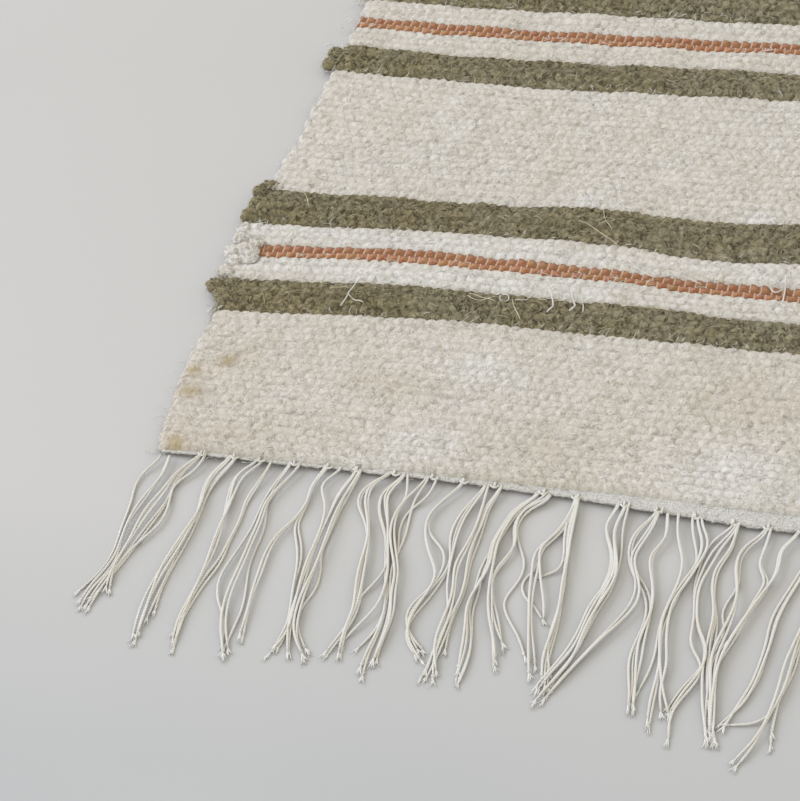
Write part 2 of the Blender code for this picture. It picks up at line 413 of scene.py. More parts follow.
def make_olive():
    """Lofty olive yarn, blended from dark and light fibres."""
    net = Network("olive hemp", sheen=0.1)
    fibres = net.spread(net.noise(900, 4, 0.7, stretch=(1, 1.7, 1)), 0.36, 0.64)
    clumps = net.spread(net.noise(240, 4, 0.65, offset=5.3, curl=1.0), 0.36, 0.64)
    hollows = net.spread(net.noise(380, 3, 0.6, offset=2.2, curl=1.0), 0.52, 0.66)
    green = net.spread(net.noise(60, 3, 0.6, offset=6.1), 0.42, 0.62)
    patches = net.spread(net.noise(42, 2, 0.5, offset=4.4), 0.46, 0.56)
    tone = net.mix(clumps, (0.43, 0.36, 0.20), (0.185, 0.147, 0.068))
    tone = net.mix(net.spread(green, 0, 1, 0.0, 0.4), tone, (0.24, 0.245, 0.115))
    tone = net.mix(net.spread(patches, 0, 1, 0.0, 0.45), tone, (0.38, 0.36, 0.255))
    # The stripes grow paler and greyer towards the rug's right
    tone = net.mix(net.spread(net.axis("X"), -0.25, -0.05, 0.0, 0.4), tone, (0.44, 0.41, 0.31))
    tone = net.mix(net.spread(net.carried("shade"), 0, 1, 0.0, 0.35), tone, (0.30, 0.26, 0.15))
    tone = net.mix(net.spread(fibres, 0.2, 1, 0.0, 0.55), tone, (0.52, 0.46, 0.30))
    # Painted shade: the hollows of the pelt are darkened as shade
    tone = net.mix(net.spread(hollows, 0, 1, 0.0, 0.8), tone, (0.075, 0.06, 0.027))
    # Painted shade: points low between the beads are darkened as shade in the crevices
    net.colour(net.mix(net.spread(net.carried("depth"), 0.0, 0.5, 0.4, 0.0), tone, (0.09, 0.07, 0.033)))
    net.bump(net.sum(clumps, hollows, "SUBTRACT"), 1.2 * MM, 0.8)
    net.bump(fibres, 0.45 * MM, 0.9)
    return net.material


# %% [markdown]
# Orange yarn is flat and firm. Its two picks show clean beads, parted by thin pale lines where the warp
# shows. Painted shade darkens each bead towards its rim, and darkens the back pick of the two.

# %% Orange hemp


def make_orange():
    """Firm burnt-orange yarn with the pale warp showing between its beads."""
    net = Network("orange hemp", roughness=0.9, sheen=0.1)
    fibres = net.spread(net.noise(1100, 3, 0.6, stretch=(1.6, 1, 1)), 0.34, 0.66)
    pick = net.carried("pick")
    over = net.sum(pick, 0.0, "FRACT")
    parity = net.sum(net.sum(pick, over, "SUBTRACT"), 2.0, "MODULO")
    aside = net.sum(parity, 0.5, "MULTIPLY")
    beads = net.sum(net.sum(net.carried("bead"), aside), -0.25)
    along_bead = net.sum(beads, 0.0, "FRACT")
    from_gap = net.sum(along_bead, net.sum(1.0, along_bead, "SUBTRACT"), "MINIMUM")
    from_side = net.sum(over, net.sum(1.0, over, "SUBTRACT"), "MINIMUM")
    rounded = net.sum(net.spread(from_gap, 0.0, 0.4), net.spread(from_side, 0.0, 0.4), "MULTIPLY")
    pale = net.spread(net.noise(190, 3, 0.6, offset=8.2), 0.42, 0.62)
    tone = net.mix(net.carried("shade"), (0.38, 0.13, 0.065), (0.41, 0.205, 0.075))
    tone = net.mix(net.spread(pale, 0, 1, 0.0, 0.45), tone, (0.55, 0.30, 0.185))
    tone = net.mix(net.spread(fibres, 0, 1, 0.0, 0.35), tone, (0.57, 0.32, 0.18))
    # Painted shade: the back pick of the two is darkened as shade
    tone = net.mix(net.spread(parity, 0, 1, 0.35, 0.0), tone, (0.24, 0.10, 0.055))
    # Painted shade: each bead is darkened towards its rim, where it rounds into the gaps
    tone = net.mix(net.spread(rounded, 0.0, 0.45, 0.7, 0.0), tone, (0.17, 0.07, 0.035))
    net.colour(net.mix(net.spread(from_gap, 0.04, 0.12, 0.65, 0.0), tone, (0.70, 0.54, 0.42)))
    net.bump(rounded, 1.8 * MM, 0.9)
    net.bump(fibres, 0.25 * MM, 0.6)
    return net.material


# %% [markdown]
# The warp and the fringe are thin white yarn of two plies. The plies' slanting grooves are drawn by a
# wave that runs along each yarn and round it, from the yarn's own UV map, and painted shade darkens them.

# %% Warp yarn
PLY_PITCH = 2.6 * MM


def make_warp():
    """White two-ply yarn: U runs round it and V along it, in pitches of the ply."""
    net = Network("warp yarn", roughness=0.85, sheen=0.1)
    spread = net.add("ShaderNodeSeparateXYZ")
    net.join(net.add("ShaderNodeTexCoord").outputs["UV"], spread.inputs[0])
    turns = net.sum(spread.outputs["X"], spread.outputs["Y"])
    wave = net.sum(net.sum(turns, 4 * math.pi, "MULTIPLY"), 0.0, "SINE")
    grooves = net.spread(wave, -1.0, 0.2)
    fibres = net.spread(net.noise(1300, 3, 0.6), 0.35, 0.65)
    drift = net.spread(net.noise(45, 2, 0.5), 0.35, 0.65)
    tone = net.mix(drift, (0.65, 0.63, 0.575), (0.675, 0.67, 0.655))
    # Painted shade: the grooves between the plies are darkened as shade
    tone = net.mix(net.spread(grooves, 0, 1, 0.25, 0.0), tone, (0.54, 0.505, 0.44))
    net.colour(net.mix(net.spread(fibres, 0, 1, 0, 0.3), tone, (0.75, 0.745, 0.73)))
    net.bump(grooves, 0.2 * MM, 0.7)
    net.bump(fibres, 0.12 * MM, 0.6)
    return net.material


cream_finish = make_cream()
olive_finish = make_olive()
orange_finish = make_orange()
warp_finish = make_warp()
print("finishes:", [item.name for item in (cream_finish, olive_finish, orange_finish, warp_finish)])

# %% [markdown]
# ## The woven face
# Each stripe starts as a flat grid with a few points for each bead and each pick, and its coordinates
# count beads and picks. One function then lays every point in its place on the rug. It drops the points
# between two beads, steps every other pick aside, as plain weave does, and rounds the cloth down to the
# floor at its rims. Where two bands meet, the beads of the nearer one bulge a little over the line
# between them.

# %% Lay a point of the weave in its place
BEAD_BULGE = 0.9 * MM
ROUNDING = 0.8 * MM
RIM_HIGH = 0.3 * MM
pick_start = np.concatenate([np.linspace(start, end, picks + 1)[:-1] for _, start, end, picks in BANDS])
pick_start = np.append(pick_start, LENGTH)
pick_yarn = np.concatenate([[yarn] * picks for yarn, _, _, picks in BANDS])
band_ends = np.cumsum([0] + [band[3] for band in BANDS])
bead_dice = np.random.default_rng(11)
bead_size = bead_dice.normal(0, 1, (PICKS + 1, BEADS + 1))
bead_tilt = bead_dice.normal(0, 1, (PICKS + 1, BEADS + 1))
bead_shade = bead_dice.uniform(0, 1, (PICKS + 1, BEADS + 1))
fine_noise = bead_dice.normal(0, 1, (STEPS * PICKS + 1, STEPS * BEADS + 1))
loop_out = bead_dice.uniform(0.1, 1, (PICKS, 2)) * [[YARNS[yarn].loops] for yarn in pick_yarn]


def thickness(along):
    """The cloth's mean thickness: thin between two bands and crowned in the middle of each."""
    rows, values = [0.0], [EDGE_THICK]
    for yarn, start, end, _ in BANDS:
        inner = 3 if end - start > 40 * MM else 1
        for step in range(inner):
            rows.append(start + (end - start) * (step + 0.5) / inner)
            values.append(YARNS[yarn].thick)
        rows.append(end)
        values.append(EDGE_THICK + 0.4 * MM)
    return np.interp(along, rows, values)


def edges(along):
    """Where the left and right selvedges lie at distances from the front."""
    return -read_table(SELVEDGE, along), WIDTH + read_table(SELVEDGE, LENGTH - along)


def lay(yarn, bead, pick):
    """Places points of the weave, counted in beads and picks. Returns them with how high in its bead and of
    what shade each is."""
    yarn = YARNS[yarn]
    row = np.clip(np.floor(pick + 1e-6), 0, PICKS - 1).astype(int)
    share = pick - row
    column = np.clip(np.floor(bead + 1e-6), 0, BEADS - 1).astype(int)
    part = bead - column
    crest = np.sin(np.pi * np.clip(share, 0, 1)) ** 0.5
    crown = np.sin(np.pi * np.clip(part, 0, 1)) ** 0.5
    on_edge = np.isin(np.round(pick, 3), band_ends)
    along = pick_start[row] + share * (pick_start[row + 1] - pick_start[row])
    left, right_edge = edges(along)
    inside = np.clip(np.minimum(bead, BEADS - bead), 0, 1)
    side = np.where(row % 2 == 0, yarn.aside, -yarn.aside) * crest * inside
    across = left + (bead + side) * (right_edge - left) / BEADS
    across = across + 0.3 * MM * bead_tilt[row, column] * crest * inside
    middle = np.clip(np.minimum(along, LENGTH - along) / (12 * MM), 0, 1)
    along = along + 0.25 * MM * slow_wave(across, along * 3, 60 * MM, 5) * middle
    along = along + np.where(on_edge, BEAD_BULGE * (crown - 0.5), 0.0) * middle
    size = 1 + 0.25 * bead_size[row, column]
    lean = np.where(part < 0.5, 1, -1) * 0.15 * bead_tilt[row, column]
    relief = crest * crown * (size + lean)
    swell = 0.35 * slow_wave(across, along, 45 * MM, 8) + 0.3 * slow_wave(across, along, 15 * MM, 9)
    rugged = np.where(on_edge, 0.2 * MM, yarn.rough)
    rugged = rugged * fine_noise[np.round(STEPS * pick).astype(int), np.round(STEPS * bead).astype(int)]
    top = thickness(along) - ROUNDING + yarn.stand * relief + swell * MM + rugged
    rim = np.minimum(bead, BEADS - bead)
    out = np.where(bead < BEADS / 2, -loop_out[row, 0], loop_out[row, 1]) * crest
    along = shifted(across, along)
    across = across + out * np.clip(1 - rim, 0, 1)
    rounding = np.interp(rim, (0, 1 / 3, 2 / 3, 1), (0.0, 0.68, 0.93, 1.0))
    end_rim = np.minimum(pick, PICKS - pick)
    rounding = rounding * np.interp(end_rim, (0, 1 / 3, 2 / 3), (0.0, 0.8, 1.0))
    height = lift(across, along) + np.maximum(top * rounding, RIM_HIGH)
    points = np.stack([across - WIDTH / 2, along - LENGTH / 2, height], axis=-1)
    return points, np.clip(relief, 0, 1.4), bead_shade[row, column]


# %% Weave the bands of one yarn
# Where the cream is stained: the kind, its middle across and along, and its reach across and along, in mm
STAINS = (
    ("tan", -5, 35, 34, 60),
    ("tan", 30, 8, 45, 22),
    ("tan", 92, 49, 26, 9),
    ("tan", 166, 25, 40, 14),
    ("tan", 20, 58, 14, 9),
    ("tan", 250, 60, 40, 20),
    ("white", 120, 20, 24, 13),
    ("white", 70, 4, 40, 7),
    ("white", 128, 66, 14, 9),
    ("white", 152, 174, 9, 5),
    ("white", 230, 171, 10, 6),
    ("white", 243, 134, 16, 6),
    ("white", 160, 116, 22, 7),
    ("white", 245, 20, 30, 22),
    ("white", 60, 137, 160, 6),
    ("white", 60, 116, 160, 6),
    ("ochre", 5, 34, 5, 3.2),
    ("ochre", 9, 4, 4.5, 4),
    ("ochre", 2.8, 45.4, 3.5, 2.5),
    ("ochre", 16.5, 54, 3.5, 3),
    ("ochre", 25.3, 31.1, 1.6, 1.4),
)


def read_points(mesh):
    """A mesh's points as an array."""
    flat = np.empty(len(mesh.vertices) * 3)
    mesh.vertices.foreach_get("co", flat)
    return flat.reshape(-1, 3)


def carry(mesh, name, values):
    """Lets a mesh carry one number for each point."""
    mesh.attributes.new(name, "FLOAT", "POINT").data.foreach_set("value", values.astype(np.float32))


def weave(name, yarn, first, last, finish):
    """Weaves a yarn's bands whose middles lie between two distances from the front, as one piece."""
    work = bmesh.new()
    count = 0
    for band_yarn, start, end, picks in BANDS:
        if band_yarn == yarn and first <= (start + end) / 2 < last:
            place = Matrix.Translation((BEADS / 2, count + picks / 2, 0))
            place = place @ Matrix.Diagonal((BEADS, picks, 1, 1))
            bmesh.ops.create_grid(
                work, x_segments=BEADS * STEPS, y_segments=picks * STEPS, size=0.5, matrix=place
            )
        count += picks
    mesh = bpy.data.meshes.new(name)
    work.to_mesh(mesh)
    work.free()
    counted = np.round(read_points(mesh), 4)
    points, depth, shade = lay(yarn, counted[:, 0], counted[:, 1])
    mesh.vertices.foreach_set("co", points.ravel())
    left, right_edge = edges(points[:, 1] + LENGTH / 2)
    carry_tints(mesh, points, depth, shade)
    carry(mesh, "bead", (points[:, 0] + WIDTH / 2 - left) / (right_edge - left) * BEADS)
    carry(mesh, "pick", counted[:, 1])
    mesh.shade_smooth()
    mesh.update()
    piece = add_piece(name, mesh, finish)
    print(name, len(mesh.polygons) * 2, "triangles")
    return piece


def carry_tints(mesh, points, depth, shade):
    """Lets a mesh carry how deep, how shaded and how stained each of its points is."""
    carry(mesh, "depth", depth)
    carry(mesh, "shade", shade)
    for stain in ("tan", "white", "ochre"):
        amount = np.zeros(len(points))
        for kind, across, along, wide, long in STAINS:
            if kind == stain:
                away_x = ((points[:, 0] + WIDTH / 2) / MM - across) / wide
                away_y = ((points[:, 1] + LENGTH / 2) / MM - along) / long
                amount = np.maximum(amount, np.exp(-(away_x**2) - away_y**2))
        carry(mesh, stain, amount)


half = LENGTH / 2
cream_front = weave("cream_weft_front", "cream", 0, half - 1 * MM, cream_finish)
cream_back = weave("cream_weft_back", "cream", half - 1 * MM, LENGTH, cream_finish)
olive = weave("olive_weft", "olive", 0, LENGTH, olive_finish)
orange = weave("orange_weft", "orange", 0, LENGTH, orange_finish)

# %% [markdown]
# The face is one layer of faces, so a thin closed layer under it, in the same stripes, shuts the cloth
# from below. The face's rims reach down past its edges.

# %% The underside
BACK_LOW = 0.1 * MM
BACK_HIGH = 0.7 * MM
BACK_INSET = 0.2 * MM


def make_underside(name, yarn, finish):
    """The thin closed underside of one yarn's bands."""
    work = bmesh.new()
    for band_yarn, start, end, picks in BANDS:
        if band_yarn == yarn:
            place = Matrix.Translation((0.5, (start + end) / 2, 0)) @ Matrix.Diagonal((1, end - start, 1, 1))
            rows = max(1, picks // 2)
            bmesh.ops.create_grid(work, x_segments=40, y_segments=rows, size=0.5, matrix=place)
    grown = bmesh.ops.extrude_face_region(work, geom=work.faces[:])["geom"]
    for item in grown:
        if isinstance(item, bmesh.types.BMVert):
            item.co.z = 1.0
    bmesh.ops.recalc_face_normals(work, faces=work.faces)
    mesh = bpy.data.meshes.new(name)
    work.to_mesh(mesh)
    work.free()
    share, along, upper = read_points(mesh).T
    along = np.clip(along, BACK_INSET, LENGTH - BACK_INSET)
    left, right_edge = edges(along)
    across = left + BACK_INSET + share * (right_edge - left - 2 * BACK_INSET)
    height = lift(across, along) + BACK_LOW + (BACK_HIGH - BACK_LOW) * upper
    points = np.stack([across - WIDTH / 2, shifted(across, along) - LENGTH / 2, height], axis=1)
    mesh.vertices.foreach_set("co", points.ravel())
    carry_tints(mesh, points, np.ones(len(points)), np.full(len(points), 0.5))
    carry(mesh, "bead", share * BEADS)
    carry(mesh, "pick", np.interp(along, pick_start, np.arange(PICKS + 1)))
    mesh.update()
    return add_piece(name, mesh, finish)


undersides = [
    make_underside("cream_underside", "cream", cream_finish),
    make_underside("olive_underside", "olive", olive_finish),
    make_underside("orange_underside", "orange", orange_finish),
]
print("undersides:", [len(piece.data.polygons) for piece in undersides], "faces")

# %% [markdown]
# ## The fringe
# The warp ends stand out of the rug's edge in knotted bundles and lie on the floor. Each strand of the
# front left half was followed in the photograph, from its root to its tip. A row holds its number
# of yarns and then the pixels of its places, across and down. The rays through those pixels meet the
# floor at the strand's real places. The rest of the fringe follows the same strands, turned over for the
# right half and turned round for the back end, then bent a little differently.

# %% Strands of the front left half
STRANDS = (
    (1, 159, 458, 148, 467, 139, 478, 132, 492, 129, 505, 123, 520, 118, 535, 112, 552, 104, 568, 93, 581,
     76, 595),
    (2, 168, 459, 165, 470, 160, 480, 148, 494, 138, 508, 128, 524, 121, 540, 115, 556, 106, 571, 96, 583,
     83, 602),
    (2, 204, 453, 192, 463, 180, 472, 172, 482, 164, 493, 154, 505, 145, 517, 137, 530, 129, 545, 120,
     558, 112, 572, 107, 588),
    (2, 204, 453, 197, 460, 183, 473, 172, 485, 167, 498, 160, 512, 151, 524, 141, 536, 131, 547, 121,
     561, 108, 577, 98, 592, 88, 603),
    (1, 206, 455, 204, 465, 193, 474, 180, 480, 171, 490, 170, 502, 166, 515, 158, 526, 146, 536, 134,
     546, 124, 557, 111, 575, 100, 590, 92, 602),
    (3, 232, 457, 222, 467, 211, 477, 205, 488, 203, 500, 200, 512, 193, 524, 187, 534, 180, 545, 172,
     556, 163, 568, 157, 580, 151, 592, 146, 604, 141, 617, 138, 628, 136, 636),
    (2, 236, 459, 228, 470, 216, 478, 209, 489, 205, 501, 199, 515, 192, 529, 184, 543, 176, 557, 169,
     570, 163, 584, 157, 598, 151, 614),
    (2, 260, 461, 252, 467, 241, 472, 234, 481, 231, 492, 229, 505, 226, 516, 221, 526, 219, 537, 217,
     547, 211, 560, 205, 572, 199, 584, 191, 597, 184, 610, 179, 622, 175, 633, 173, 644),
    (1, 264, 462, 255, 470, 243, 478, 236, 488, 232, 501, 226, 516, 219, 530, 213, 545, 208, 560, 203,
     573, 198, 586, 190, 600, 184, 612, 178, 625, 172, 636),
    (2, 271, 463, 270, 473, 263, 480, 254, 487, 247, 497, 243, 508, 240, 520, 234, 531, 227, 542, 222,
     553, 216, 565, 208, 575, 201, 586, 195, 597, 190, 608, 182, 619, 176, 632, 174, 643),
    (1, 290, 465, 283, 473, 276, 484, 268, 494, 262, 505, 257, 516, 252, 527, 246, 538, 240, 549, 233,
     558, 226, 567, 219, 577, 214, 590, 213, 602, 216, 611, 222, 620, 222, 634, 220, 650),
    (2, 299, 466, 291, 477, 281, 489, 268, 501, 263, 514, 258, 527, 252, 540, 247, 552, 243, 565, 238,
     578, 233, 591, 228, 603, 225, 617, 223, 632, 223, 652),
    (1, 290, 466, 281, 478, 272, 491, 266, 502, 267, 514, 264, 530, 258, 543, 250, 557, 247, 571, 246,
     585, 244, 600, 241, 612, 235, 625, 228, 638, 221, 654),
    (2, 326, 467, 318, 476, 312, 486, 311, 498, 304, 510, 294, 521, 283, 532, 272, 541, 267, 552, 263,
     565, 259, 580, 253, 595, 248, 608, 244, 622, 240, 636),
    (1, 341, 470, 330, 476, 322, 484, 320, 494, 325, 502, 327, 513, 323, 526, 318, 540, 312, 552, 306,
     566, 302, 582, 297, 597, 293, 612, 289, 628, 281, 642, 271, 650),
    (2, 328, 468, 318, 478, 313, 488, 313, 499, 306, 509, 297, 521, 297, 533, 300, 546, 300, 560, 297,
     574, 293, 590, 290, 606, 288, 622, 284, 634, 276, 646),
    (2, 355, 473, 348, 480, 342, 490, 336, 500, 332, 510, 327, 522, 322, 533, 316, 545, 310, 557, 306,
     570, 303, 582, 299, 596, 295, 610, 291, 624, 288, 638, 286, 655),
    (2, 358, 474, 355, 484, 347, 493, 340, 505, 335, 517, 331, 530, 326, 543, 321, 555, 315, 567, 310,
     580, 303, 592, 299, 604, 295, 618, 293, 632, 296, 645, 302, 660),
    (1, 359, 475, 354, 488, 346, 500, 338, 514, 332, 528, 326, 543, 320, 556, 319, 570, 319, 583, 315,
     593, 306, 600, 300, 608, 296, 622, 297, 640, 304, 652),
    (2, 396, 470, 385, 477, 372, 484, 361, 490, 357, 500, 359, 510, 364, 520, 368, 533, 369, 547, 366,
     560, 363, 573, 361, 585, 358, 598, 355, 610, 350, 622, 343, 632, 336, 643, 331, 650),
    (2, 396, 472, 384, 480, 370, 486, 364, 494, 367, 506, 369, 520, 369, 534, 368, 548, 364, 562, 361,
     577, 359, 592, 357, 606, 352, 619, 344, 632, 338, 645, 338, 654),
    (2, 403, 477, 393, 485, 381, 492, 377, 502, 377, 513, 382, 525, 386, 538, 386, 552, 386, 566, 385,
     580, 384, 594, 383, 608, 381, 622, 377, 636, 371, 648, 365, 662, 362, 672),
    (1, 406, 478, 412, 486, 410, 496, 402, 506, 394, 516, 392, 530, 394, 544, 396, 557, 393, 570, 389,
     583, 390, 597, 390, 611, 387, 625, 383, 640, 377, 655, 371, 668),
    (2, 427, 480, 417, 490, 408, 500, 399, 510, 393, 522, 391, 536, 393, 550, 396, 562, 398, 575, 396,
     586, 391, 596, 392, 608, 389, 622, 386, 635, 379, 650, 374, 664),
    (1, 428, 480, 420, 492, 411, 506, 408, 520, 406, 533, 402, 545, 396, 555, 392, 570, 388, 586, 385,
     602, 383, 618, 378, 636, 370, 652, 364, 664),
    (1, 403, 477, 392, 486, 384, 496, 385, 510, 387, 525, 387, 540, 387, 556, 386, 572, 378, 585, 366,
     594, 358, 603, 352, 617, 344, 630, 339, 644),
    (1, 404, 478, 394, 488, 386, 500, 388, 516, 388, 532, 388, 550, 388, 568, 386, 586, 382, 602, 374,
     618, 362, 629, 350, 638, 341, 648),
    (1, 436, 482, 439, 490, 432, 498, 420, 502, 408, 511, 399, 523, 395, 540, 396, 556, 391, 572, 387,
     590, 384, 606, 379, 624, 371, 640, 362, 650, 355, 656),
    (1, 466, 482, 457, 486, 450, 496, 443, 504, 432, 509, 427, 518, 426, 530, 429, 540, 438, 546, 445,
     556, 444, 568, 439, 580, 432, 590, 423, 597, 412, 605, 405, 614, 403, 625, 405, 635, 412, 645, 420,
     655),
    (1, 464, 482, 455, 488, 448, 498, 439, 506, 430, 513, 427, 526, 426, 540, 427, 551, 433, 560, 440,
     568, 436, 580, 430, 591, 420, 603, 411, 616, 406, 626, 409, 638, 416, 648, 421, 657),
    (2, 485, 487, 477, 496, 465, 509, 457, 523, 452, 537, 452, 550, 451, 562, 445, 574, 438, 584, 430,
     594, 420, 605, 408, 617, 404, 628, 408, 640, 417, 651),
    (2, 500, 489, 492, 496, 487, 506, 484, 518, 480, 530, 473, 541, 470, 552, 467, 563, 465, 575, 463,
     588, 460, 600, 455, 612, 449, 625, 443, 637, 436, 650, 430, 664, 424, 677),
    (2, 487, 488, 486, 498, 483, 510, 477, 525, 474, 538, 468, 550, 461, 562, 456, 574, 454, 588, 452,
     600, 449, 612, 443, 628, 437, 645, 433, 660, 433, 677),
    (1, 500, 490, 493, 500, 489, 512, 484, 526, 479, 540, 474, 553, 469, 566, 467, 580, 464, 592, 458,
     606, 452, 620, 448, 632, 442, 640, 446, 648),
    (1, 484, 490, 476, 502, 466, 516, 459, 530, 455, 545, 451, 560, 448, 575, 447, 590, 448, 604, 448,
     618, 442, 632, 436, 648, 428, 666, 421, 678),
    (2, 538, 495, 528, 499, 518, 508, 511, 518, 502, 530, 494, 542, 491, 555, 490, 567, 484, 578, 477,
     589, 470, 599, 465, 610, 464, 622, 465, 634, 463, 646, 461, 660, 456, 676),
    (2, 545, 497, 533, 503, 523, 510, 513, 522, 505, 532, 497, 542, 491, 552, 486, 560, 482, 570, 482,
     582, 475, 594, 470, 605, 471, 620, 472, 635, 470, 650, 466, 663, 460, 678),
    (2, 548, 498, 536, 504, 526, 511, 518, 521, 514, 533, 516, 543, 520, 551, 511, 556, 502, 563, 496,
     572, 493, 585, 492, 600, 493, 614, 496, 627, 498, 640, 501, 648),
    (2, 535, 497, 522, 506, 513, 519, 504, 532, 497, 543, 494, 556, 492, 570, 490, 585, 489, 600, 489,
     615, 490, 630, 491, 643, 494, 655, 493, 668),
    (1, 549, 499, 536, 506, 526, 513, 519, 523, 515, 534, 517, 544, 523, 552, 525, 562, 522, 573, 516,
     585, 507, 595, 501, 604, 504, 615, 512, 624, 518, 636, 521, 646, 525, 656),
    (2, 575, 500, 572, 512, 565, 527, 560, 535, 548, 542, 540, 548, 537, 558, 536, 570, 534, 582, 531,
     595, 530, 610, 529, 625, 529, 640, 530, 655, 531, 672),
    (1, 576, 501, 570, 514, 563, 528, 553, 539, 543, 545, 538, 556, 539, 570, 540, 584, 541, 598, 543,
     612, 542, 623),
    (1, 575, 500, 570, 514, 562, 530, 550, 540, 541, 549, 538, 562, 534, 573, 525, 579, 519, 586, 519,
     595, 525, 604, 532, 610, 538, 617, 541, 624),
    (1, 576, 502, 568, 518, 565, 535, 565, 552, 561, 566, 553, 571, 543, 574),
    (2, 577, 502, 574, 515, 572, 530, 570, 545, 569, 560, 566, 574, 564, 588, 561, 600, 558, 612, 555,
     625, 551, 638, 547, 650, 545, 662, 545, 676),
    (2, 576, 500, 571, 515, 567, 530, 566, 545, 566, 560, 565, 574, 565, 588, 562, 600, 559, 614, 555,
     628, 550, 643, 546, 658, 546, 672, 547, 684),
    (2, 618, 508, 612, 516, 605, 524, 607, 537, 611, 548, 613, 560, 612, 572, 607, 585, 601, 597, 593,
     608, 587, 620, 581, 633, 573, 646, 564, 658, 555, 669, 547, 680, 536, 694),
    (3, 625, 509, 621, 518, 616, 528, 614, 540, 616, 552, 617, 564, 616, 576, 612, 588, 604, 599, 597,
     611, 590, 624, 583, 637, 577, 649, 568, 662, 558, 674, 548, 686, 539, 697),
    (1, 628, 510, 626, 520, 623, 530, 623, 542, 621, 555, 618, 568, 616, 580, 609, 593, 600, 606, 593,
     618, 586, 632, 577, 646, 570, 660, 560, 672, 550, 686),
    (1, 657, 517, 651, 525, 645, 537, 637, 546, 631, 555, 631, 567, 636, 579, 637, 592, 631, 605, 621,
     617, 609, 629, 597, 641, 586, 653, 575, 664, 563, 676, 553, 687, 546, 697),
    (1, 658, 518, 653, 528, 646, 541, 637, 550, 633, 560, 634, 570, 639, 582, 640, 596, 636, 609, 627,
     619, 614, 630, 601, 641, 589, 653, 578, 664, 566, 676, 555, 688, 548, 696),
    (2, 655, 516, 645, 524, 635, 534, 630, 545, 629, 558, 632, 570, 639, 581, 645, 592, 647, 605, 646,
     618, 644, 630, 639, 641, 634, 652, 631, 665, 630, 680, 630, 695, 627, 708),
    (2, 666, 518, 669, 525, 669, 535, 662, 543, 652, 550, 648, 560, 649, 570, 652, 582, 652, 595, 650,
     608, 648, 620, 644, 634, 640, 646, 638, 660, 636, 675, 634, 690, 634, 707),
    (1, 677, 519, 679, 530, 678, 541, 682, 551, 683, 563, 680, 577, 677, 590, 670, 602, 664, 614, 661,
     628, 660, 642, 660, 656, 661, 670, 661, 684, 664, 700, 668, 712),
    (1, 692, 522, 690, 532, 694, 543, 700, 551, 697, 563, 691, 574, 681, 586, 673, 597, 666, 608, 661,
     620, 658, 633, 656, 648, 653, 662, 648, 673, 643, 684, 638, 692),
    (2, 697, 522, 697, 531, 703, 541, 704, 552, 699, 565, 692, 577, 682, 588, 675, 600, 670, 610, 665,
     622, 661, 636, 660, 650, 658, 664, 656, 678, 654, 690, 649, 706, 648, 726),
    (1, 701, 522, 707, 532, 710, 541, 706, 552, 700, 564, 693, 577, 684, 588, 676, 599, 671, 608, 668,
     622, 666, 636, 667, 650, 668, 664, 666, 676, 661, 687, 657, 696, 661, 710),
    (1, 733, 527, 722, 531, 713, 541, 706, 553, 700, 566, 696, 578, 694, 590, 694, 603, 695, 617, 696,
     630, 700, 640, 706, 650, 708, 660, 702, 668, 692, 677, 683, 687, 674, 697, 668, 707),
    (1, 735, 528, 725, 536, 716, 548, 708, 562, 701, 575, 697, 588, 695, 602, 696, 616, 692, 628, 690,
     640, 692, 652, 700, 661, 706, 668, 697, 680, 686, 692, 676, 704, 668, 718, 669, 734),
    (1, 738, 527, 728, 538, 721, 550, 714, 563, 706, 576, 700, 588, 698, 600, 697, 614, 697, 628, 702,
     640, 707, 651, 706, 664, 698, 677, 688, 688, 678, 700, 670, 712),
    (2, 738, 527, 740, 534, 737, 543, 728, 555, 718, 567, 714, 580, 714, 594, 716, 608, 718, 620, 716,
     632, 712, 645, 710, 660, 709, 675, 709, 690, 709, 705, 710, 720, 713, 738),
    (2, 737, 528, 741, 537, 735, 549, 724, 560, 715, 573, 712, 586, 713, 600, 714, 614, 713, 630, 709,
     645, 707, 660, 706, 676, 705, 692, 704, 708, 705, 722, 706, 740),
    (2, 765, 533, 753, 540, 743, 549, 736, 560, 735, 573, 736, 586, 736, 600, 733, 614, 731, 626, 724,
     638, 717, 650, 712, 663, 710, 678, 708, 693, 707, 708, 707, 722, 708, 738),
    (1, 766, 534, 756, 541, 747, 550, 740, 561, 739, 574, 738, 587, 731, 598, 724, 607, 721, 617, 724,
     628, 723, 638, 716, 649, 711, 662),
    (2, 770, 533, 773, 541, 768, 549, 760, 557, 759, 567, 764, 577, 768, 586, 761, 597, 753, 609, 746,
     621, 737, 634, 727, 646, 719, 657, 713, 670, 711, 686),
    (2, 798, 537, 788, 538, 780, 543, 780, 555, 780, 568, 775, 579, 768, 589, 760, 600, 750, 614, 741,
     628, 730, 643, 719, 660, 714, 676, 712, 692, 712, 706, 711, 722, 711, 738),
    (2, 822, 542, 812, 554, 803, 570, 795, 582, 787, 594, 781, 605, 775, 618, 772, 630, 767, 645, 761,
     660, 756, 675, 751, 690, 743, 704, 734, 717, 724, 728),
    (1, 824, 543, 815, 556, 807, 569, 799, 582, 790, 596, 783, 608, 777, 620, 773, 633, 769, 648, 763,
     663, 757, 678, 751, 693, 742, 707, 731, 720, 718, 729),
    (2, 835, 546, 831, 565, 822, 585, 813, 605, 805, 625, 797, 643, 790, 662, 786, 678, 779, 695, 772,
     710, 765, 725, 757, 738, 745, 750, 737, 760),
    (2, 838, 547, 834, 566, 826, 588, 815, 608, 806, 628, 800, 645, 795, 660, 789, 676, 783, 690, 776,
     705, 771, 722, 769, 742),
    (1, 838, 548, 832, 570, 822, 592, 812, 613, 804, 634, 797, 652, 791, 669, 786, 685, 779, 702, 769,
     719, 756, 727, 741, 729, 728, 728),
)
PHOTO_MIDDLE = (400.0, 400.5)
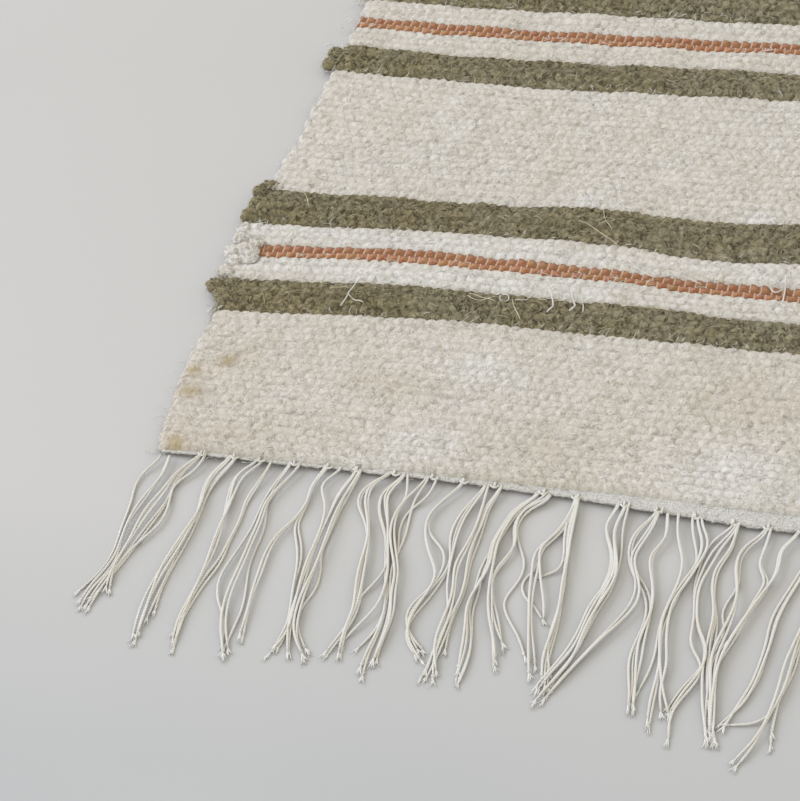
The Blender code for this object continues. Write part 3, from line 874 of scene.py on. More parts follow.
# The camera's aim and distance in mm and its focal length in pixels, before they were rounded above
READ_AIM = (100.2155, 41.439, 6.0)
READ_AWAY = 1093.26
READ_FOCAL = 2550.0
# How high a strand's first, its second and its further places lie, in mm
READ_HIGH = (3.0, 1.8, 0.9)
# How many even places a strand is worked out to, and how many where fewer than that were read
PLACES = 10
FEW_PLACES = 7
YARN_RADIUS = 0.6 * MM
# How far apart a strand's yarns lie, in mm, and how far each strays from its line
YARN_SPACING = 1.35
YARN_STRAY = 0.7 * MM
STATIONS = 34
# How often a strand's line is smoothed after it was followed
SMOOTHED = 3
# How far a yarn starts inside the heading, and how far along it takes to come down to the floor
ROOT_INSIDE = 2.5 * MM
FALL = 30 * MM
KNOTS = (22, 37, 49, 64, 79, 92, 109, 126, 139, 152, 173, 187, 208, 222, 238, 254, 267, 281, 295)
# How far the heading shows past the cloth, at a distance from the rug's left, in mm
HEADING_SHOWS = np.array(
    [
        (0, 0.7),
        (90, 0.9),
        (140, 1.6),
        (176, 2.8),
        (197, 4.0),
        (218, 5.6),
        (260, 7.2),
        (280, 6.9),
        (330, 5.2),
        (420, 3.4),
        (600, 2.0),
    ]
)
HEADING_THICK = 1.8 * MM
HEADING_THIN = 1.1 * MM
HEADING_CLEAR = 0.3 * MM
HEADING_INSET = 3 * MM


def follow(points, stations, steps=12):
    """A smooth line through points, as evenly spaced places along it."""
    ends = (2 * points[0] - points[1], 2 * points[-1] - points[-2])
    held = np.vstack([ends[0], points, ends[1]])
    share = np.linspace(0, 1, steps, endpoint=False)[:, None]
    line = []
    for one, two, three, four in zip(held, held[1:], held[2:], held[3:]):
        line.append(
            0.5 * (2 * two + (three - one) * share)
            + 0.5 * (2 * one - 5 * two + 4 * three - four) * share**2
            + 0.5 * (3 * two - one - 3 * three + four) * share**3
        )
    line = np.vstack([*line, points[-1:]])
    walked = np.append(0, np.cumsum(np.linalg.norm(np.diff(line, axis=0), axis=1)))
    at = np.linspace(0, walked[-1], stations)
    return np.stack([np.interp(at, walked, line[:, axis]) for axis in range(line.shape[1])], axis=1)


def read_place(pixel, high):
    """Where a pixel's ray meets a height: its distances from the left and out from the front, in mm."""
    aside = (pixel[0] - PHOTO_MIDDLE[0]) / READ_FOCAL
    down = (pixel[1] - PHOTO_MIDDLE[1]) / READ_FOCAL
    ray = np.array(look) + np.array(right) * aside - np.array(above) * down
    eye = np.array(READ_AIM) - np.array(look) * READ_AWAY
    met = eye + ray * (high - eye[2]) / ray[2]
    return met[0], -met[1]


def strand_places(pixels):
    """Even places along a strand, to half a millimetre."""
    pixels = np.reshape(pixels, (-1, 2))
    highs = [READ_HIGH[min(number, 2)] for number in range(len(pixels))]
    read = np.array([read_place(pixel, high) for pixel, high in zip(pixels, highs)])
    places = follow(read, PLACES if len(read) >= PLACES else FEW_PLACES, 24)
    return np.round(places * 2) / 2 * MM


def yarn_routes(back):
    """The routes of all the yarns at one end, as an array of yarn, station and place."""
    dice = np.random.default_rng(31 if back else 30)
    routes = []
    for turned in (False, True):
        for number, (yarns, *pixels) in enumerate(STRANDS):
            places = strand_places(pixels)
            inside = places[0] - (0, ROOT_INSIDE)
            line = follow(np.vstack([inside, places]), STATIONS)
            for _ in range(SMOOTHED):
                line[1:-1] = (line[:-2] + 2 * line[1:-1] + line[2:]) / 4
            share = np.linspace(0, 1, STATIONS)
            if turned or back:
                seed = 60 + turned + 2 * back
                line[:, 1] *= 1 + 0.05 * slow_wave(line[0, 0], 0.0, 40 * MM, seed)
                line[:, 0] += 5 * MM * share * slow_wave(line[0, 0], line[:, 1], 90 * MM, seed + 10)
            if turned:
                line[:, 1] -= near_edge(line[0, 0]) - near_edge(WIDTH - line[0, 0])
                shows, far_shows = read_table(HEADING_SHOWS, np.array([line[0, 0], WIDTH - line[0, 0]]))
                line[:, 1] -= shows - far_shows
            across = WIDTH - line[:, 0] if turned != back else line[:, 0]
            along = LENGTH + line[:, 1] if back else -line[:, 1]
            ahead = np.gradient(np.stack([across, along], axis=1), axis=0)
            ahead /= np.linalg.norm(ahead, axis=1)[:, None]
            off_floor = lift(across[0], LENGTH if back else 0.0) + HEADING_CLEAR + HEADING_THICK * 0.6
            walked = np.append(0, np.cumsum(np.linalg.norm(np.diff(line, axis=0), axis=1)))
            fall = np.clip(walked / FALL, 0, 1)
            fall = fall * (2 - fall)
            layer = YARN_RADIUS * (1 + 1.5 * (number % 3) * np.sin(np.pi * share) ** 0.5)
            for yarn in range(yarns):
                turn = dice.uniform(0, 2 * np.pi)
                aside = (yarn - (yarns - 1) / 2) * YARN_SPACING * MM
                beside = aside * np.cos(2 * np.pi * 0.4 * share + 0.35 * turn)
                stray = YARN_STRAY * np.sin(2 * np.pi * dice.uniform(1.2, 2.6) * share + turn) * share**0.5
                shift = beside * (0.35 + 0.65 * np.clip(share / 0.2, 0, 1)) + stray * (yarns > 1)
                lower = layer + 0.8 * YARN_RADIUS * (yarn % 2)
                height = off_floor + (lower - off_floor) * fall
                stretch = 1 + dice.uniform(-0.05, 0.02)
                place = [across - ahead[:, 1] * shift, along + ahead[:, 0] * shift, height]
                place = np.stack(place, axis=1)
                place[:, :2] = place[0, :2] + (place[:, :2] - place[0, :2]) * stretch
                routes.append(place - (WIDTH / 2, LENGTH / 2, 0))
    return np.array(routes)


print(len(STRANDS), "strands were read, with", sum(row[0] for row in STRANDS), "yarns")

# %% [markdown]
# A few hundred yarns would be slow as curves with a round bevel each. Instead one function builds all
# tubes of a kind together: it sets rings of points square to every route and joins them into one mesh,
# with a UV map that runs round each yarn and along it, for the grooves between its plies.

# %% Many tubes in one mesh


def tube_arrays(routes, radius, sides, pitch):
    """Points, triangles and UVs of closed tubes along routes of one length of list."""
    routes = np.asarray(routes, dtype=float)
    tubes, stations = routes.shape[:2]
    radius = np.broadcast_to(radius, (tubes, stations))
    ahead = np.gradient(routes, axis=1)
    ahead /= np.linalg.norm(ahead, axis=2)[..., None]
    side = np.cross(ahead, (0.0, 0.0, 1.0))
    side /= np.maximum(np.linalg.norm(side, axis=2)[..., None], 1e-9)
    over = np.cross(side, ahead)
    turn = np.arange(sides) * 2 * np.pi / sides
    ring = side[:, :, None] * np.cos(turn)[:, None] + over[:, :, None] * np.sin(turn)[:, None]
    points = routes[:, :, None] + ring * radius[..., None, None]
    corner = np.arange(tubes * stations * sides).reshape(tubes, stations, sides)
    here, there = corner[:, :-1], corner[:, 1:]
    after, after_there = np.roll(here, -1, axis=2), np.roll(there, -1, axis=2)
    walls = np.stack([here, there, after_there, here, after_there, after], axis=-1).reshape(-1, 3)
    fans = [corner[:, 0, [0, step + 1, step + 2]] for step in range(sides - 2)]
    tails = [corner[:, -1, [0, step + 2, step + 1]] for step in range(sides - 2)]
    faces = np.concatenate([walls, *fans, *tails])
    long = np.linalg.norm(np.diff(routes, axis=1), axis=2).cumsum(axis=1)
    along = np.concatenate([np.zeros((tubes, 1)), long], axis=1) / pitch
    around = np.broadcast_to(np.arange(sides) / sides, (tubes, stations, sides))
    uvs = np.stack([around, np.broadcast_to(along[..., None], (tubes, stations, sides))], axis=-1)
    return points.reshape(-1, 3), faces, uvs.reshape(-1, 2)


def sliver_arrays(routes, radius):
    """Points, triangles and UVs of three-sided slivers of fibre with pointed ends."""
    inner, faces, uvs = tube_arrays(routes[:, 1:-1], radius, 3, PLY_PITCH)
    slivers, rings = len(routes), routes.shape[1] - 2
    corner = np.arange(slivers * rings * 3).reshape(slivers, rings, 3)
    faces = faces[: slivers * (rings - 1) * 6]
    first, last = len(inner), len(inner) + slivers
    heads = np.arange(first, last)[:, None] + np.zeros(3, dtype=int)
    start = np.stack([heads, corner[:, 0], np.roll(corner[:, 0], -1, axis=1)], axis=-1)
    end = np.stack([heads + slivers, np.roll(corner[:, -1], -1, axis=1), corner[:, -1]], axis=-1)
    points = np.concatenate([inner, routes[:, 0], routes[:, -1]])
    uvs = np.concatenate([uvs, np.zeros((2 * slivers, 2))])
    return points, np.concatenate([faces, start.reshape(-1, 3), end.reshape(-1, 3)]), uvs


def join_arrays(name, parts, finish):
    """One piece from several sets of points, triangles and UVs."""
    points, faces, uvs, start = [], [], [], 0
    for part_points, part_faces, part_uvs in parts:
        points.append(part_points)
        faces.append(part_faces + start)
        uvs.append(part_uvs)
        start += len(part_points)
    points, faces, uvs = np.concatenate(points), np.concatenate(faces), np.concatenate(uvs)
    mesh = bpy.data.meshes.new(name)
    mesh.from_pydata(points.tolist(), [], faces.tolist())
    corners = uvs[faces]
    wrapped = corners[:, :, 0].max(axis=1, keepdims=True) - corners[:, :, 0] > 0.5
    corners[:, :, 0] += wrapped
    mesh.uv_layers.new(name="yarn").data.foreach_set("uv", corners.reshape(-1).astype(np.float32))
    mesh.shade_smooth()
    piece = add_piece(name, mesh, finish)
    print(name, len(faces), "triangles")
    return piece


# %% [markdown]
# Cut warp ends come undone. Every yarn's last few millimetres open into fine fibres that fan out on the
# floor. A small stitch gathers each bundle at its root.

# %% Frayed tips and knots
TIP_FIBRES = 7
TIP_SHORTEST = 2.5
TIP_LONGEST = 6.0
TIP_RADII = (0.36, 0.28)
KNOT_RADIUS = 0.5 * MM


def frayed_tips(routes, each, seed):
    """A fan of fine fibres at the tip of each yarn."""
    dice = np.random.default_rng(seed)
    tips = np.repeat(routes[:, -1], each, axis=0)
    ahead = np.repeat(routes[:, -1] - routes[:, -3], each, axis=0)
    heading = np.arctan2(ahead[:, 1], ahead[:, 0]) + dice.normal(0, 0.16, len(tips))
    long = dice.uniform(TIP_SHORTEST, TIP_LONGEST, len(tips)) * MM
    bend = dice.normal(0, 0.2, len(tips))
    share = np.array([-0.5, -0.15, 0.45, 1.0])
    angle = heading[:, None] + bend[:, None] * share
    fibres = np.repeat(tips[:, None], 4, axis=1)
    fibres[:, :, 0] += long[:, None] * share * np.cos(angle)
    fibres[:, :, 1] += long[:, None] * share * np.sin(angle)
    fibres[:, :, 2] = np.maximum(fibres[:, :, 2] * (1 - share * 0.35), 0.5 * MM)
    return fibres


def knots(back):
    """The stitches that gather each bundle: two short turns of yarn over the edge, and one along it."""
    dice = np.random.default_rng(41 if back else 40)
    turns = []
    for turned in (False, True):
        for knot in KNOTS:
            across = (WIDTH - knot * MM) if turned != back else knot * MM
            shows = float(read_table(HEADING_SHOWS, np.array(WIDTH - across if back else across)))
            low = float(lift(np.array(across), np.array(LENGTH if back else 0.0))) + HEADING_CLEAR
            edge = near_edge(np.array(WIDTH - across if back else across)) + shows
            for turn in range(2):
                start = across + dice.uniform(-1.0, 1.0) * MM
                out = np.array([-2.4, -1.4, -0.2, 0.5, 0.1, -1.0]) * MM + edge
                high = np.array([1.2, 1.9, 1.8, 1.1, 0.5, 0.4]) * MM + low
                side = start + np.linspace(dice.uniform(-1.2, 1.2), dice.uniform(-0.8, 0.8), 6) * MM
                along = LENGTH + out if back else -out
                turns.append(np.stack([side - WIDTH / 2, along - LENGTH / 2, high], axis=1))
            side = across + np.linspace(-1.9, 1.9, 6) * MM
            out = edge + np.array([-0.8, 0.0, 0.5, 0.5, 0.0, -0.8]) * MM
            along = LENGTH + out if back else -out
            high = np.full(6, low + 1.2 * MM)
            turns.append(np.stack([side - WIDTH / 2, along - LENGTH / 2, high], axis=1))
    return np.array(turns)


def make_fringe(name, back):
    """All the yarns of one end, with their knots."""
    routes = yarn_routes(back)
    thin = np.interp(np.linspace(0, 1, STATIONS), (0, 0.93, 1), (1, 1, 0.75)) * YARN_RADIUS
    return join_arrays(
        name,
        [
            tube_arrays(routes, thin, 5, PLY_PITCH),
            tube_arrays(knots(back), KNOT_RADIUS, 6, PLY_PITCH),
        ],
        warp_finish,
    )


def make_tips(name, back, finish):
    """The frayed tips of one end's yarns."""
    fibres = frayed_tips(yarn_routes(back), TIP_FIBRES, 51 + back)
    return join_arrays(name, [sliver_arrays(fibres, np.array(TIP_RADII) * MM)], finish)


def make_fuzz_finish(name, low, high):
    """Single fibres, from a darker to a lighter tone."""
    net = Network(name, roughness=0.9, sheen=0.2)
    net.colour(net.mix(net.spread(net.noise(140, 2, 0.5), 0.3, 0.7), low, high))
    return net.material


fringe_front = make_fringe("fringe_yarns_front", False)
fringe_back = make_fringe("fringe_yarns_back", True)
tip_finish = make_fuzz_finish("frayed ends", (0.76, 0.75, 0.73), (0.86, 0.86, 0.85))
tips_front = make_tips("frayed_tips_front", False, tip_finish)
tips_back = make_tips("frayed_tips_back", True, tip_finish)

# %% [markdown]
# ## The heading
# Before the thick weft starts, a few rows of thin white yarn hold the warp. The strip shows as a fine
# grey-white rim that is drawn in at each knot.

# %% Heading strip
HEADING_COLUMNS = 420
# How far a knot draws the strip in, and how far along it that reaches
KNOT_DRAWS = 0.7 * MM
KNOT_REACH = 2.4 * MM
# How far the strip runs in under the cloth's edge, and how unevenly it ends and lies
HEADING_TUCK = 2.0 * MM
HEADING_RAGGED = 0.22
HEADING_UNEVEN = 0.16
HEADING_RIM = 0.55


def make_heading_finish():
    """A fine plain weave of white yarn, with painted shade in its hollows and between its rows."""
    net = Network("fine heading weave", roughness=0.95)
    fine = net.spread(net.noise(1500, 2, 0.5, stretch=(1, 1.3, 1)), 0.35, 0.65)
    rows = net.add("ShaderNodeTexWave", wave_type="BANDS", bands_direction="Y")
    rows.inputs["Scale"].default_value = 260
    rows.inputs["Distortion"].default_value = 1.5
    rows.inputs["Detail Scale"].default_value = 200
    net.join(net.place, rows.inputs["Vector"])
    clumps = net.spread(net.noise(420, 3, 0.6, offset=1.7), 0.35, 0.65)
    tone = net.mix(fine, (0.63, 0.62, 0.59), (0.78, 0.78, 0.77))
    # Painted shade: the hollows between the clumps are darkened as shade
    tone = net.mix(net.spread(clumps, 0, 1, 0.3, 0.0), tone, (0.55, 0.53, 0.48))
    # Painted shade: the troughs between the rows are darkened as shade
    net.colour(net.mix(net.spread(rows.outputs["Fac"], 0, 1, 0.2, 0.0), tone, (0.50, 0.48, 0.43)))
    net.bump(clumps, 0.8 * MM, 0.8)
    net.bump(rows.outputs["Fac"], 0.3 * MM, 0.6)
    net.bump(fine, 0.3 * MM, 0.8)
    return net.material


def make_heading(name, back, finish):
    """A thin strip beside the cloth's edge, drawn in at the knots."""
    dice = np.random.default_rng(46 if back else 45)
    work = bmesh.new()
    bmesh.ops.create_grid(work, x_segments=HEADING_COLUMNS, y_segments=4, size=0.5)
    grown = bmesh.ops.extrude_face_region(work, geom=work.faces[:])["geom"]
    tops = {item for item in grown if isinstance(item, bmesh.types.BMVert)}
    marks = np.array([*KNOTS, *(600 - knot for knot in KNOTS)]) * MM
    for vert in work.verts:
        across = HEADING_INSET + (vert.co.x + 0.5) * (WIDTH - 2 * HEADING_INSET)
        from_left = WIDTH - across if back else across
        shows = float(read_table(HEADING_SHOWS, np.array(from_left)))
        drawn = float(np.exp(-(((marks - across) / KNOT_REACH) ** 2)).max())
        share = 0.5 - vert.co.y
        edge = float(near_edge(np.array(from_left)))
        out = edge + share * (shows - KNOT_DRAWS * drawn) - HEADING_TUCK * (1 - share)
        out += share * HEADING_RAGGED * MM * dice.normal()
        low = float(lift(np.array(across), np.array(LENGTH if back else 0.0))) + HEADING_CLEAR
        thick = min(HEADING_THICK, HEADING_THIN + 0.1 * shows) + HEADING_UNEVEN * MM * dice.normal()
        top = thick * (HEADING_RIM if share > 0.9 else 1.0) if vert in tops else 0.0
        vert.co = (across - WIDTH / 2, (LENGTH + out if back else -out) - LENGTH / 2, low + top)
    bmesh.ops.recalc_face_normals(work, faces=work.faces)
    mesh = bpy.data.meshes.new(name)
    work.to_mesh(mesh)
    work.free()
    mesh.shade_smooth()
    return add_piece(name, mesh, finish)


heading_finish = make_heading_finish()
heading_front = make_heading("heading_front", False, heading_finish)
heading_back = make_heading("heading_back", True, heading_finish)
print("heading faces:", len(heading_front.data.polygons))

# %% [markdown]
# ## Fuzz
# Hemp never lies smooth. Loose fibres stand and curl all over the face, most on the lofty olive. Each one
# is a thin bent sliver with pointed ends, and thousands of them are joined into one piece for each yarn.

# %% Loose fibres
# The share of the fibres that lies at the two ends, and at the two selvedges
AT_ENDS = 0.05
AT_SELVEDGES = 0.1
# How high over the cloth's mean top the fibres start, on the face and on the borders of the bands
FACE_HIGH = 0.15
BORDER_HIGH = 0.9


def loose_fibres(name, yarns, count, long, stand, thick, finish, seed, borders=False):
    """Bent slivers of fibre that lie on the picks of some yarns, or across the borders of all bands."""
    dice = np.random.default_rng(seed)
    rows = np.flatnonzero(np.isin(pick_yarn, yarns))
    row = dice.choice(rows, count)
    along = pick_start[row] + dice.uniform(0, 1, count) * (pick_start[row + 1] - pick_start[row])
    left, right_edge = edges(along)
    if borders:
        starts = [band[1] for band in BANDS[1:]]
        along = dice.choice(starts, count) + dice.normal(0.3, 1.2, count) * MM
    elif "cream" in yarns:
        at_end = np.round(dice.uniform(0, 1, count)) * LENGTH + dice.normal(0, 1.0, count) * MM
        along = np.where(dice.uniform(0, 1, count) < AT_ENDS, at_end, along)
    reach = np.where(
        dice.uniform(0, 1, count) < AT_SELVEDGES,
        np.round(dice.uniform(0, 1, count)) + dice.normal(0, 0.0032, count),
        dice.uniform(0, 1, count),
    )
    across = left + reach * (right_edge - left)
    length = long * np.exp(dice.normal(0, 0.45, count)) * MM
    heading = dice.uniform(0, np.pi, count) + dice.normal(0, 0.5, count)
    curl = dice.normal(0, 2.6 if borders else 1.8, count)
    share = np.linspace(-0.5, 0.5, 4)
    angle = heading[:, None] + curl[:, None] * share
    step = length[:, None] / 3
    shift_x = np.cumsum(np.cos(angle) * step, axis=1)
    shift_y = np.cumsum(np.sin(angle) * step, axis=1)
    place_x = across[:, None] + shift_x - shift_x.mean(axis=1, keepdims=True)
    place_y = along[:, None] + shift_y - shift_y.mean(axis=1, keepdims=True)
    place_y = np.clip(place_y, -2.0 * MM, LENGTH + 2.0 * MM)
    inside = np.minimum(place_x - edges(place_y)[0], edges(place_y)[1] - place_x)
    end_inside = np.minimum(place_y, LENGTH - place_y)
    rim = np.clip(inside / (3 * MM), 0, 1) * np.clip(end_inside / (2.5 * MM), 0, 1)
    top = (lift(place_x, place_y) + thickness(place_y)) * (0.25 + 0.75 * rim)
    high = stand * np.abs(dice.normal(0, 1, count))[:, None] * MM
    tilt = dice.uniform(-0.6, 0.6, count)[:, None]
    over = BORDER_HIGH if borders else FACE_HIGH
    height = top + over * MM + high * (1 - (2 * share) ** 2) + high * tilt * share
    place_y = shifted(place_x, place_y)
    routes = [place_x - WIDTH / 2, place_y - LENGTH / 2, np.maximum(height, 0.3 * MM)]
    radius = thick * MM * np.outer(dice.uniform(0.7, 1.3, count), (1.0, 0.9))
    return join_arrays(name, [sliver_arrays(np.stack(routes, axis=2), radius)], finish)


cream_fuzz_finish = make_fuzz_finish("cream fibres", (0.58, 0.545, 0.485), (0.69, 0.67, 0.63))
olive_fuzz_finish = make_fuzz_finish("olive fibres", (0.24, 0.205, 0.11), (0.50, 0.45, 0.31))
straw_finish = make_fuzz_finish("straw fibres", (0.50, 0.44, 0.30), (0.66, 0.61, 0.47))
white_fuzz_finish = make_fuzz_finish("white fibres", (0.66, 0.65, 0.62), (0.78, 0.78, 0.765))
cream_fuzz = loose_fibres("cream_fuzz", ["cream"], 9600, 4.2, 0.5, 0.13, cream_fuzz_finish, 81)
olive_fuzz = loose_fibres("olive_fuzz", ["olive"], 7600, 5.5, 0.7, 0.14, olive_fuzz_finish, 82)
border_fuzz = loose_fibres("border_fuzz", ["cream"], 3600, 4.0, 0.5, 0.12, white_fuzz_finish, 83, True)

# %% [markdown]
# Turns of the weft swell into soft tufts at the left selvedge. Each starts as a round ball that is
# squashed to its own size, then made lumpy along its normals, and short fibres curl over it.

# %% Tufts
# Their middles across, along and up, then their half sizes across, along and up, in mm
CREAM_PUFFS = (
    (-4.0, 109.5, 3.4, 4.6, 3.8, 3.1),
    (-1.5, 115.0, 4.0, 4.6, 3.8, 3.4),
    (-4.5, 122.0, 3.6, 4.4, 4.0, 3.3),
    (-3.0, 130.5, 3.8, 4.4, 4.0, 3.4),
    (-3.6, 137.0, 3.4, 4.4, 3.6, 3.1),
    (4.0, 117.0, 5.4, 5.2, 3.4, 1.5),
    (1.0, 122.6, 5.2, 5.0, 4.6, 2.0),
    (4.4, 121.6, 5.5, 4.0, 4.0, 1.3),
    (4.6, 127.6, 5.5, 4.2, 2.6, 1.4),
)
OLIVE_PUFFS = (
    (-6.0, 100.5, 3.4, 4.0, 3.6, 3.2),
    (-0.6, 95.0, 3.6, 4.4, 3.6, 3.3),
    (-4.4, 163.0, 3.8, 3.8, 3.6, 3.4),
    (-1.0, 166.6, 3.8, 4.2, 3.0, 3.4),
    (-4.6, 146.5, 3.6, 4.2, 4.0, 3.3),
    (-3.2, 154.5, 3.8, 4.2, 4.0, 3.4),
    (1.8, 263.6, 3.8, 3.8, 3.4, 3.4),
    (1.2, 256.4, 3.6, 3.8, 3.6, 3.2),
)
TUFT_FIBRES = 120


def make_puffs(name, puffs, finish):
    """Lumpy tufts of loose fibre."""
    work = bmesh.new()
    for across, along, up, *half_sizes in puffs:
        middle = Vector((across * MM - WIDTH / 2, along * MM - LENGTH / 2, up * MM))
        place = Matrix.Translation(middle) @ Matrix.Diagonal((*(half * MM for half in half_sizes), 1))
        bmesh.ops.create_icosphere(work, subdivisions=4, radius=1.0, matrix=place)
    mesh = bpy.data.meshes.new(name)
    work.to_mesh(mesh)
    work.free()
    points = read_points(mesh)
    normals = np.empty(points.size)
    mesh.vertex_normals.foreach_get("vector", normals)
    lumps = slow_wave(points[:, 0] + 0.6 * points[:, 2], points[:, 1] - 0.6 * points[:, 2], 3.0 * MM, 91)
    finer = slow_wave(points[:, 0] - 0.8 * points[:, 2], points[:, 1] + 0.5 * points[:, 2], 1.5 * MM, 92)
    lumps += 0.5 * finer
    points += (0.5 * MM * lumps)[:, None] * normals.reshape(-1, 3)
    points[:, 2] = np.maximum(points[:, 2], 0.15 * MM)
    mesh.vertices.foreach_set("co", points.ravel())
    carry_tints(mesh, points, np.full(len(points), 0.7), np.clip(0.5 + 0.4 * lumps, 0, 1))
    mesh.shade_smooth()
    mesh.update()
    return add_piece(name, mesh, finish)


def tuft_fibres(name, puffs, each, finish, seed):
    """Short curled fibres over the tufts, which make them look soft."""
    dice = np.random.default_rng(seed)
    puffs = np.repeat(np.array(puffs) * MM, each, axis=0)
    count = len(puffs)
    outward = dice.normal(0, 1, (count, 3))
    outward[:, 2] = np.abs(outward[:, 2])
    outward /= np.linalg.norm(outward, axis=1)[:, None]
    middle = puffs[:, :3] + outward * puffs[:, 3:] * dice.uniform(0.85, 1.12, count)[:, None]
    share = np.linspace(-0.5, 0.5, 4)
    angle = dice.uniform(0, 2 * np.pi, count)[:, None] + dice.normal(0, 1.6, count)[:, None] * share
    step = dice.uniform(0.6, 1.5, count)[:, None] * MM
    routes = np.repeat(middle[:, None], 4, axis=1)
    for axis, turned in enumerate((np.cos(angle), np.sin(angle))):
        shift = np.cumsum(turned * step, axis=1)
        routes[:, :, axis] += shift - shift.mean(axis=1, keepdims=True)
    routes[:, :, 2] = np.maximum(routes[:, :, 2] - 0.8 * MM * (2 * share) ** 2, 0.3 * MM)
    routes -= (WIDTH / 2, LENGTH / 2, 0)
    return join_arrays(name, [sliver_arrays(routes, np.array([0.15, 0.13]) * MM)], finish)


cream_puffs = make_puffs("cream_tufts", CREAM_PUFFS, cream_finish)
olive_puffs = make_puffs("olive_tufts", OLIVE_PUFFS, olive_finish)
print("tufts:", len(cream_puffs.data.polygons) + len(olive_puffs.data.polygons), "triangles")
cream_tuft_fuzz = tuft_fibres("cream_tuft_fibres", CREAM_PUFFS, TUFT_FIBRES, cream_fuzz_finish, 92)
olive_tuft_fuzz = tuft_fibres("olive_tuft_fibres", OLIVE_PUFFS, TUFT_FIBRES, olive_fuzz_finish, 93)

# %% [markdown]
# A few white threads lie loose on the face, and long straw-coloured fibres stand out of the olive yarn.
# Each is a thin tube along its own places.

# %% Stray threads
# A thread's radius, then its places as distances from the left and from the front, in mm
THREADS = (
    (0.32, 61.5, 111.8, 59.3, 101.9, 59.2, 97.0, 57.5, 92.4),
    (0.28, 59.2, 99.0, 62.0, 96.8, 67.4, 95.4),
    (0.25, 127.6, 108.2, 128.6, 104.6, 131.6, 105.4, 131.2, 108.6, 128.4, 109.2),
    (0.22, 135.0, 106.0, 139.0, 107.0, 142.6, 112.0),
    (0.36, 149.5, 113.0, 151.4, 108.4, 152.6, 104.0, 151.2, 99.6),
    (0.40, 158.0, 115.0, 160.8, 109.0, 162.2, 105.5, 160.6, 102.0),
    (0.25, 163.0, 113.0, 165.6, 107.0, 166.8, 102.0),
    (0.28, 250.0, 128.4, 247.0, 130.8, 244.2, 128.0, 247.0, 125.2, 249.8, 127.2),
    (0.36, 250.0, 134.0, 250.6, 127.7, 251.0, 119.6),
    (0.22, 180.0, 136.0, 186.0, 131.0, 193.0, 128.6, 199.0, 131.0, 207.0, 129.4, 214.0, 126.4),
)
STRAWS = (
    (0.16, 49.9, 101.3, 54.9, 103.9, 58.5, 103.0),
    (0.17, 113.4, 107.6, 119.9, 106.0, 126.5, 103.7),
    (0.15, 113.0, 106.0, 117.0, 103.6, 122.0, 104.8, 126.0, 107.5),
    (0.17, 133.7, 105.9, 136.0, 101.0, 140.3, 94.4),
    (0.16, 142.0, 112.0, 146.0, 108.5, 149.0, 108.0),
    (0.17, 182.2, 109.1, 193.5, 110.0, 204.0, 108.9),
    (0.17, 183.4, 113.9, 181.5, 115.8, 179.6, 113.9, 181.5, 112.0, 183.2, 113.2),
    (0.15, 190.0, 124.4, 193.0, 129.2, 196.0, 133.0),
    (0.16, 209.0, 133.0, 217.0, 130.4, 226.0, 129.0),
    (0.15, 151.6, 158.0, 162.7, 152.1, 173.1, 145.0),
    (0.15, 159.9, 170.0, 163.0, 161.0, 167.8, 154.0),
    (0.15, 15.0, 163.0, 19.8, 159.7, 24.0, 151.4),
)
STRAY_STATIONS = 14


def make_strays(name, table, finish):
    """Loose threads on the face."""
    parts = []
    for radius, *numbers in table:
        line = follow(np.array(numbers).reshape(-1, 2) * MM, STRAY_STATIONS)
        high = lift(line[:, 0], line[:, 1]) + thickness(line[:, 1]) + 0.8 * MM
        high += 0.4 * MM * np.sin(np.linspace(0, 3 * np.pi, STRAY_STATIONS))
        route = np.stack([line[:, 0] - WIDTH / 2, line[:, 1] - LENGTH / 2, high], axis=1)
        parts.append(tube_arrays(route[None], radius * MM, 5, PLY_PITCH))
    return join_arrays(name, parts, finish)


threads = make_strays("stray_threads", THREADS, warp_finish)
straws = make_strays("stray_straws", STRAWS, straw_finish)

# %% [markdown]
# ## Floor and light
# A pale matt floor and one large soft light from the upper left give the photograph's gentle shadows.

# %% Floor
FLOOR_REACH = 2.5


def make_floor():
    """A pale, faintly mottled floor, with painted shade and painted light in its tone from front to back."""
    net = Network("pale floor", roughness=0.8)
    cloud = net.spread(net.noise(5, 3, 0.5), 0.3, 0.7)
    # Painted shade darkens and cools the front, past the fringe; painted light brightens the rug's front end
    tone = net.mix(net.spread(net.axis("Y"), -0.6, -0.48), (0.41, 0.42, 0.435), (0.475, 0.475, 0.475))
    tone = net.mix(net.spread(net.axis("Y"), -0.45, -0.2), tone, (0.46, 0.457, 0.453))
    net.colour(net.mix(net.spread(cloud, 0, 1, 0.0, 0.3), tone, (0.48, 0.48, 0.48)))
    net.bump(net.noise(120, 3, 0.6), 0.15 * MM, 0.3)
    work = bmesh.new()
    bmesh.ops.create_grid(work, x_segments=1, y_segments=1, size=FLOOR_REACH)
    mesh = bpy.data.meshes.new("floor")
    work.to_mesh(mesh)
    work.free()
    return add_piece("floor", mesh, net.material)


floor = make_floor()

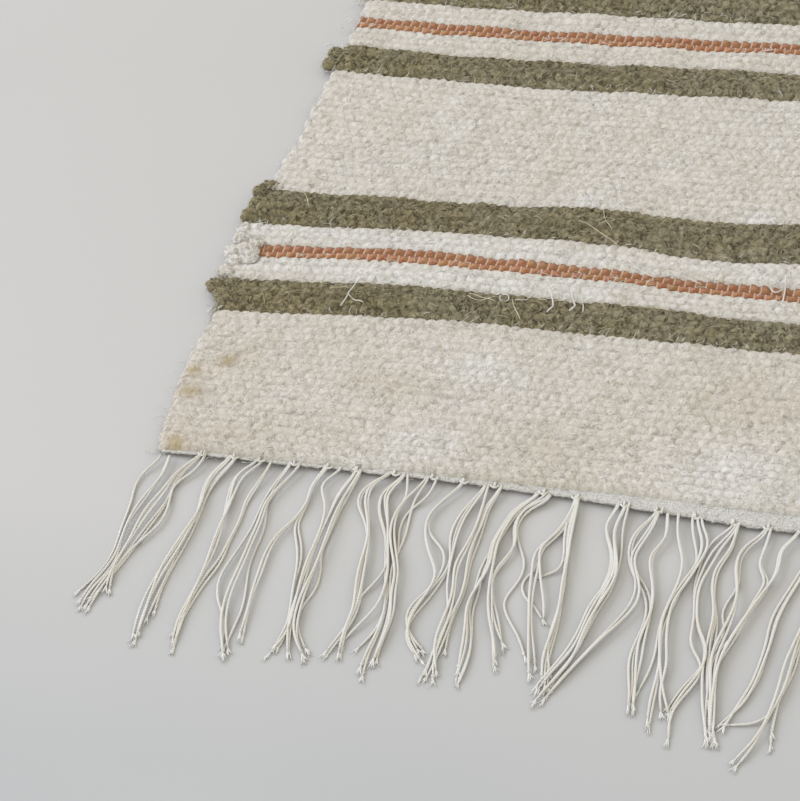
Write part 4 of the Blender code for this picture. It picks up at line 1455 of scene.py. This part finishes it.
# %% Light
ROOM_COLOUR = (1.0, 0.967, 0.87, 1)
ROOM_STRENGTH = 1.04
WINDOW_AWAY = 3.4
WINDOW_SIZE = 2.2
WINDOW_POWER = 83
WINDOW_COLOUR = (0.74, 0.80, 1.0)
bpy.context.scene.view_settings.view_transform = "Standard"
world = bpy.data.worlds.new("room")
bpy.context.scene.world = world
world.use_nodes = True
room = world.node_tree.nodes["Background"]
room.inputs["Color"].default_value = ROOM_COLOUR
room.inputs["Strength"].default_value = ROOM_STRENGTH


def add_light(name, toward, away, size, power, colour):
    """A square soft light that faces the rug's near left corner."""
    lamp = bpy.data.lights.new(name, "AREA")
    lamp.size = size
    lamp.energy = power
    lamp.color = colour
    made = bpy.data.objects.new(name, lamp)
    made.location = CAMERA_AIM + toward.normalized() * away
    made.rotation_euler = (-toward).to_track_quat("-Z", "Y").to_euler()
    bpy.context.scene.collection.objects.link(made)


window = level * -0.85 + ahead * 0.5 + Vector((0, 0, 0.62))
add_light("window", window, WINDOW_AWAY, WINDOW_SIZE, WINDOW_POWER, WINDOW_COLOUR)

# %% Finish
PIECES = (
    (cream_front, "cream_hemp", "woven_cloth"),
    (cream_back, "cream_hemp", "woven_cloth"),
    (olive, "olive_hemp", "woven_cloth"),
    (orange, "orange_hemp", "woven_cloth"),
    (undersides[0], "cream_hemp", "woven_cloth"),
    (undersides[1], "olive_hemp", "woven_cloth"),
    (undersides[2], "orange_hemp", "woven_cloth"),
    (cream_fuzz, "cream_hemp", "woven_cloth"),
    (cream_puffs, "cream_hemp", "woven_cloth"),
    (olive_puffs, "olive_hemp", "woven_cloth"),
    (olive_fuzz, "olive_hemp", "woven_cloth"),
    (border_fuzz, "cream_hemp", "woven_cloth"),
    (cream_tuft_fuzz, "cream_hemp", "woven_cloth"),
    (olive_tuft_fuzz, "olive_hemp", "woven_cloth"),
    (threads, "warp_yarn", "woven_cloth"),
    (straws, "olive_hemp", "woven_cloth"),
    (fringe_front, "warp_yarn", "fringe_front"),
    (fringe_back, "warp_yarn", "fringe_back"),
    (tips_front, "warp_yarn", "fringe_front"),
    (tips_back, "warp_yarn", "fringe_back"),
    (heading_front, "warp_yarn", "fringe_front"),
    (heading_back, "warp_yarn", "fringe_back"),
)
for piece, slot, node in PIECES:
    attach(piece, "root")
    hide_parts(node)
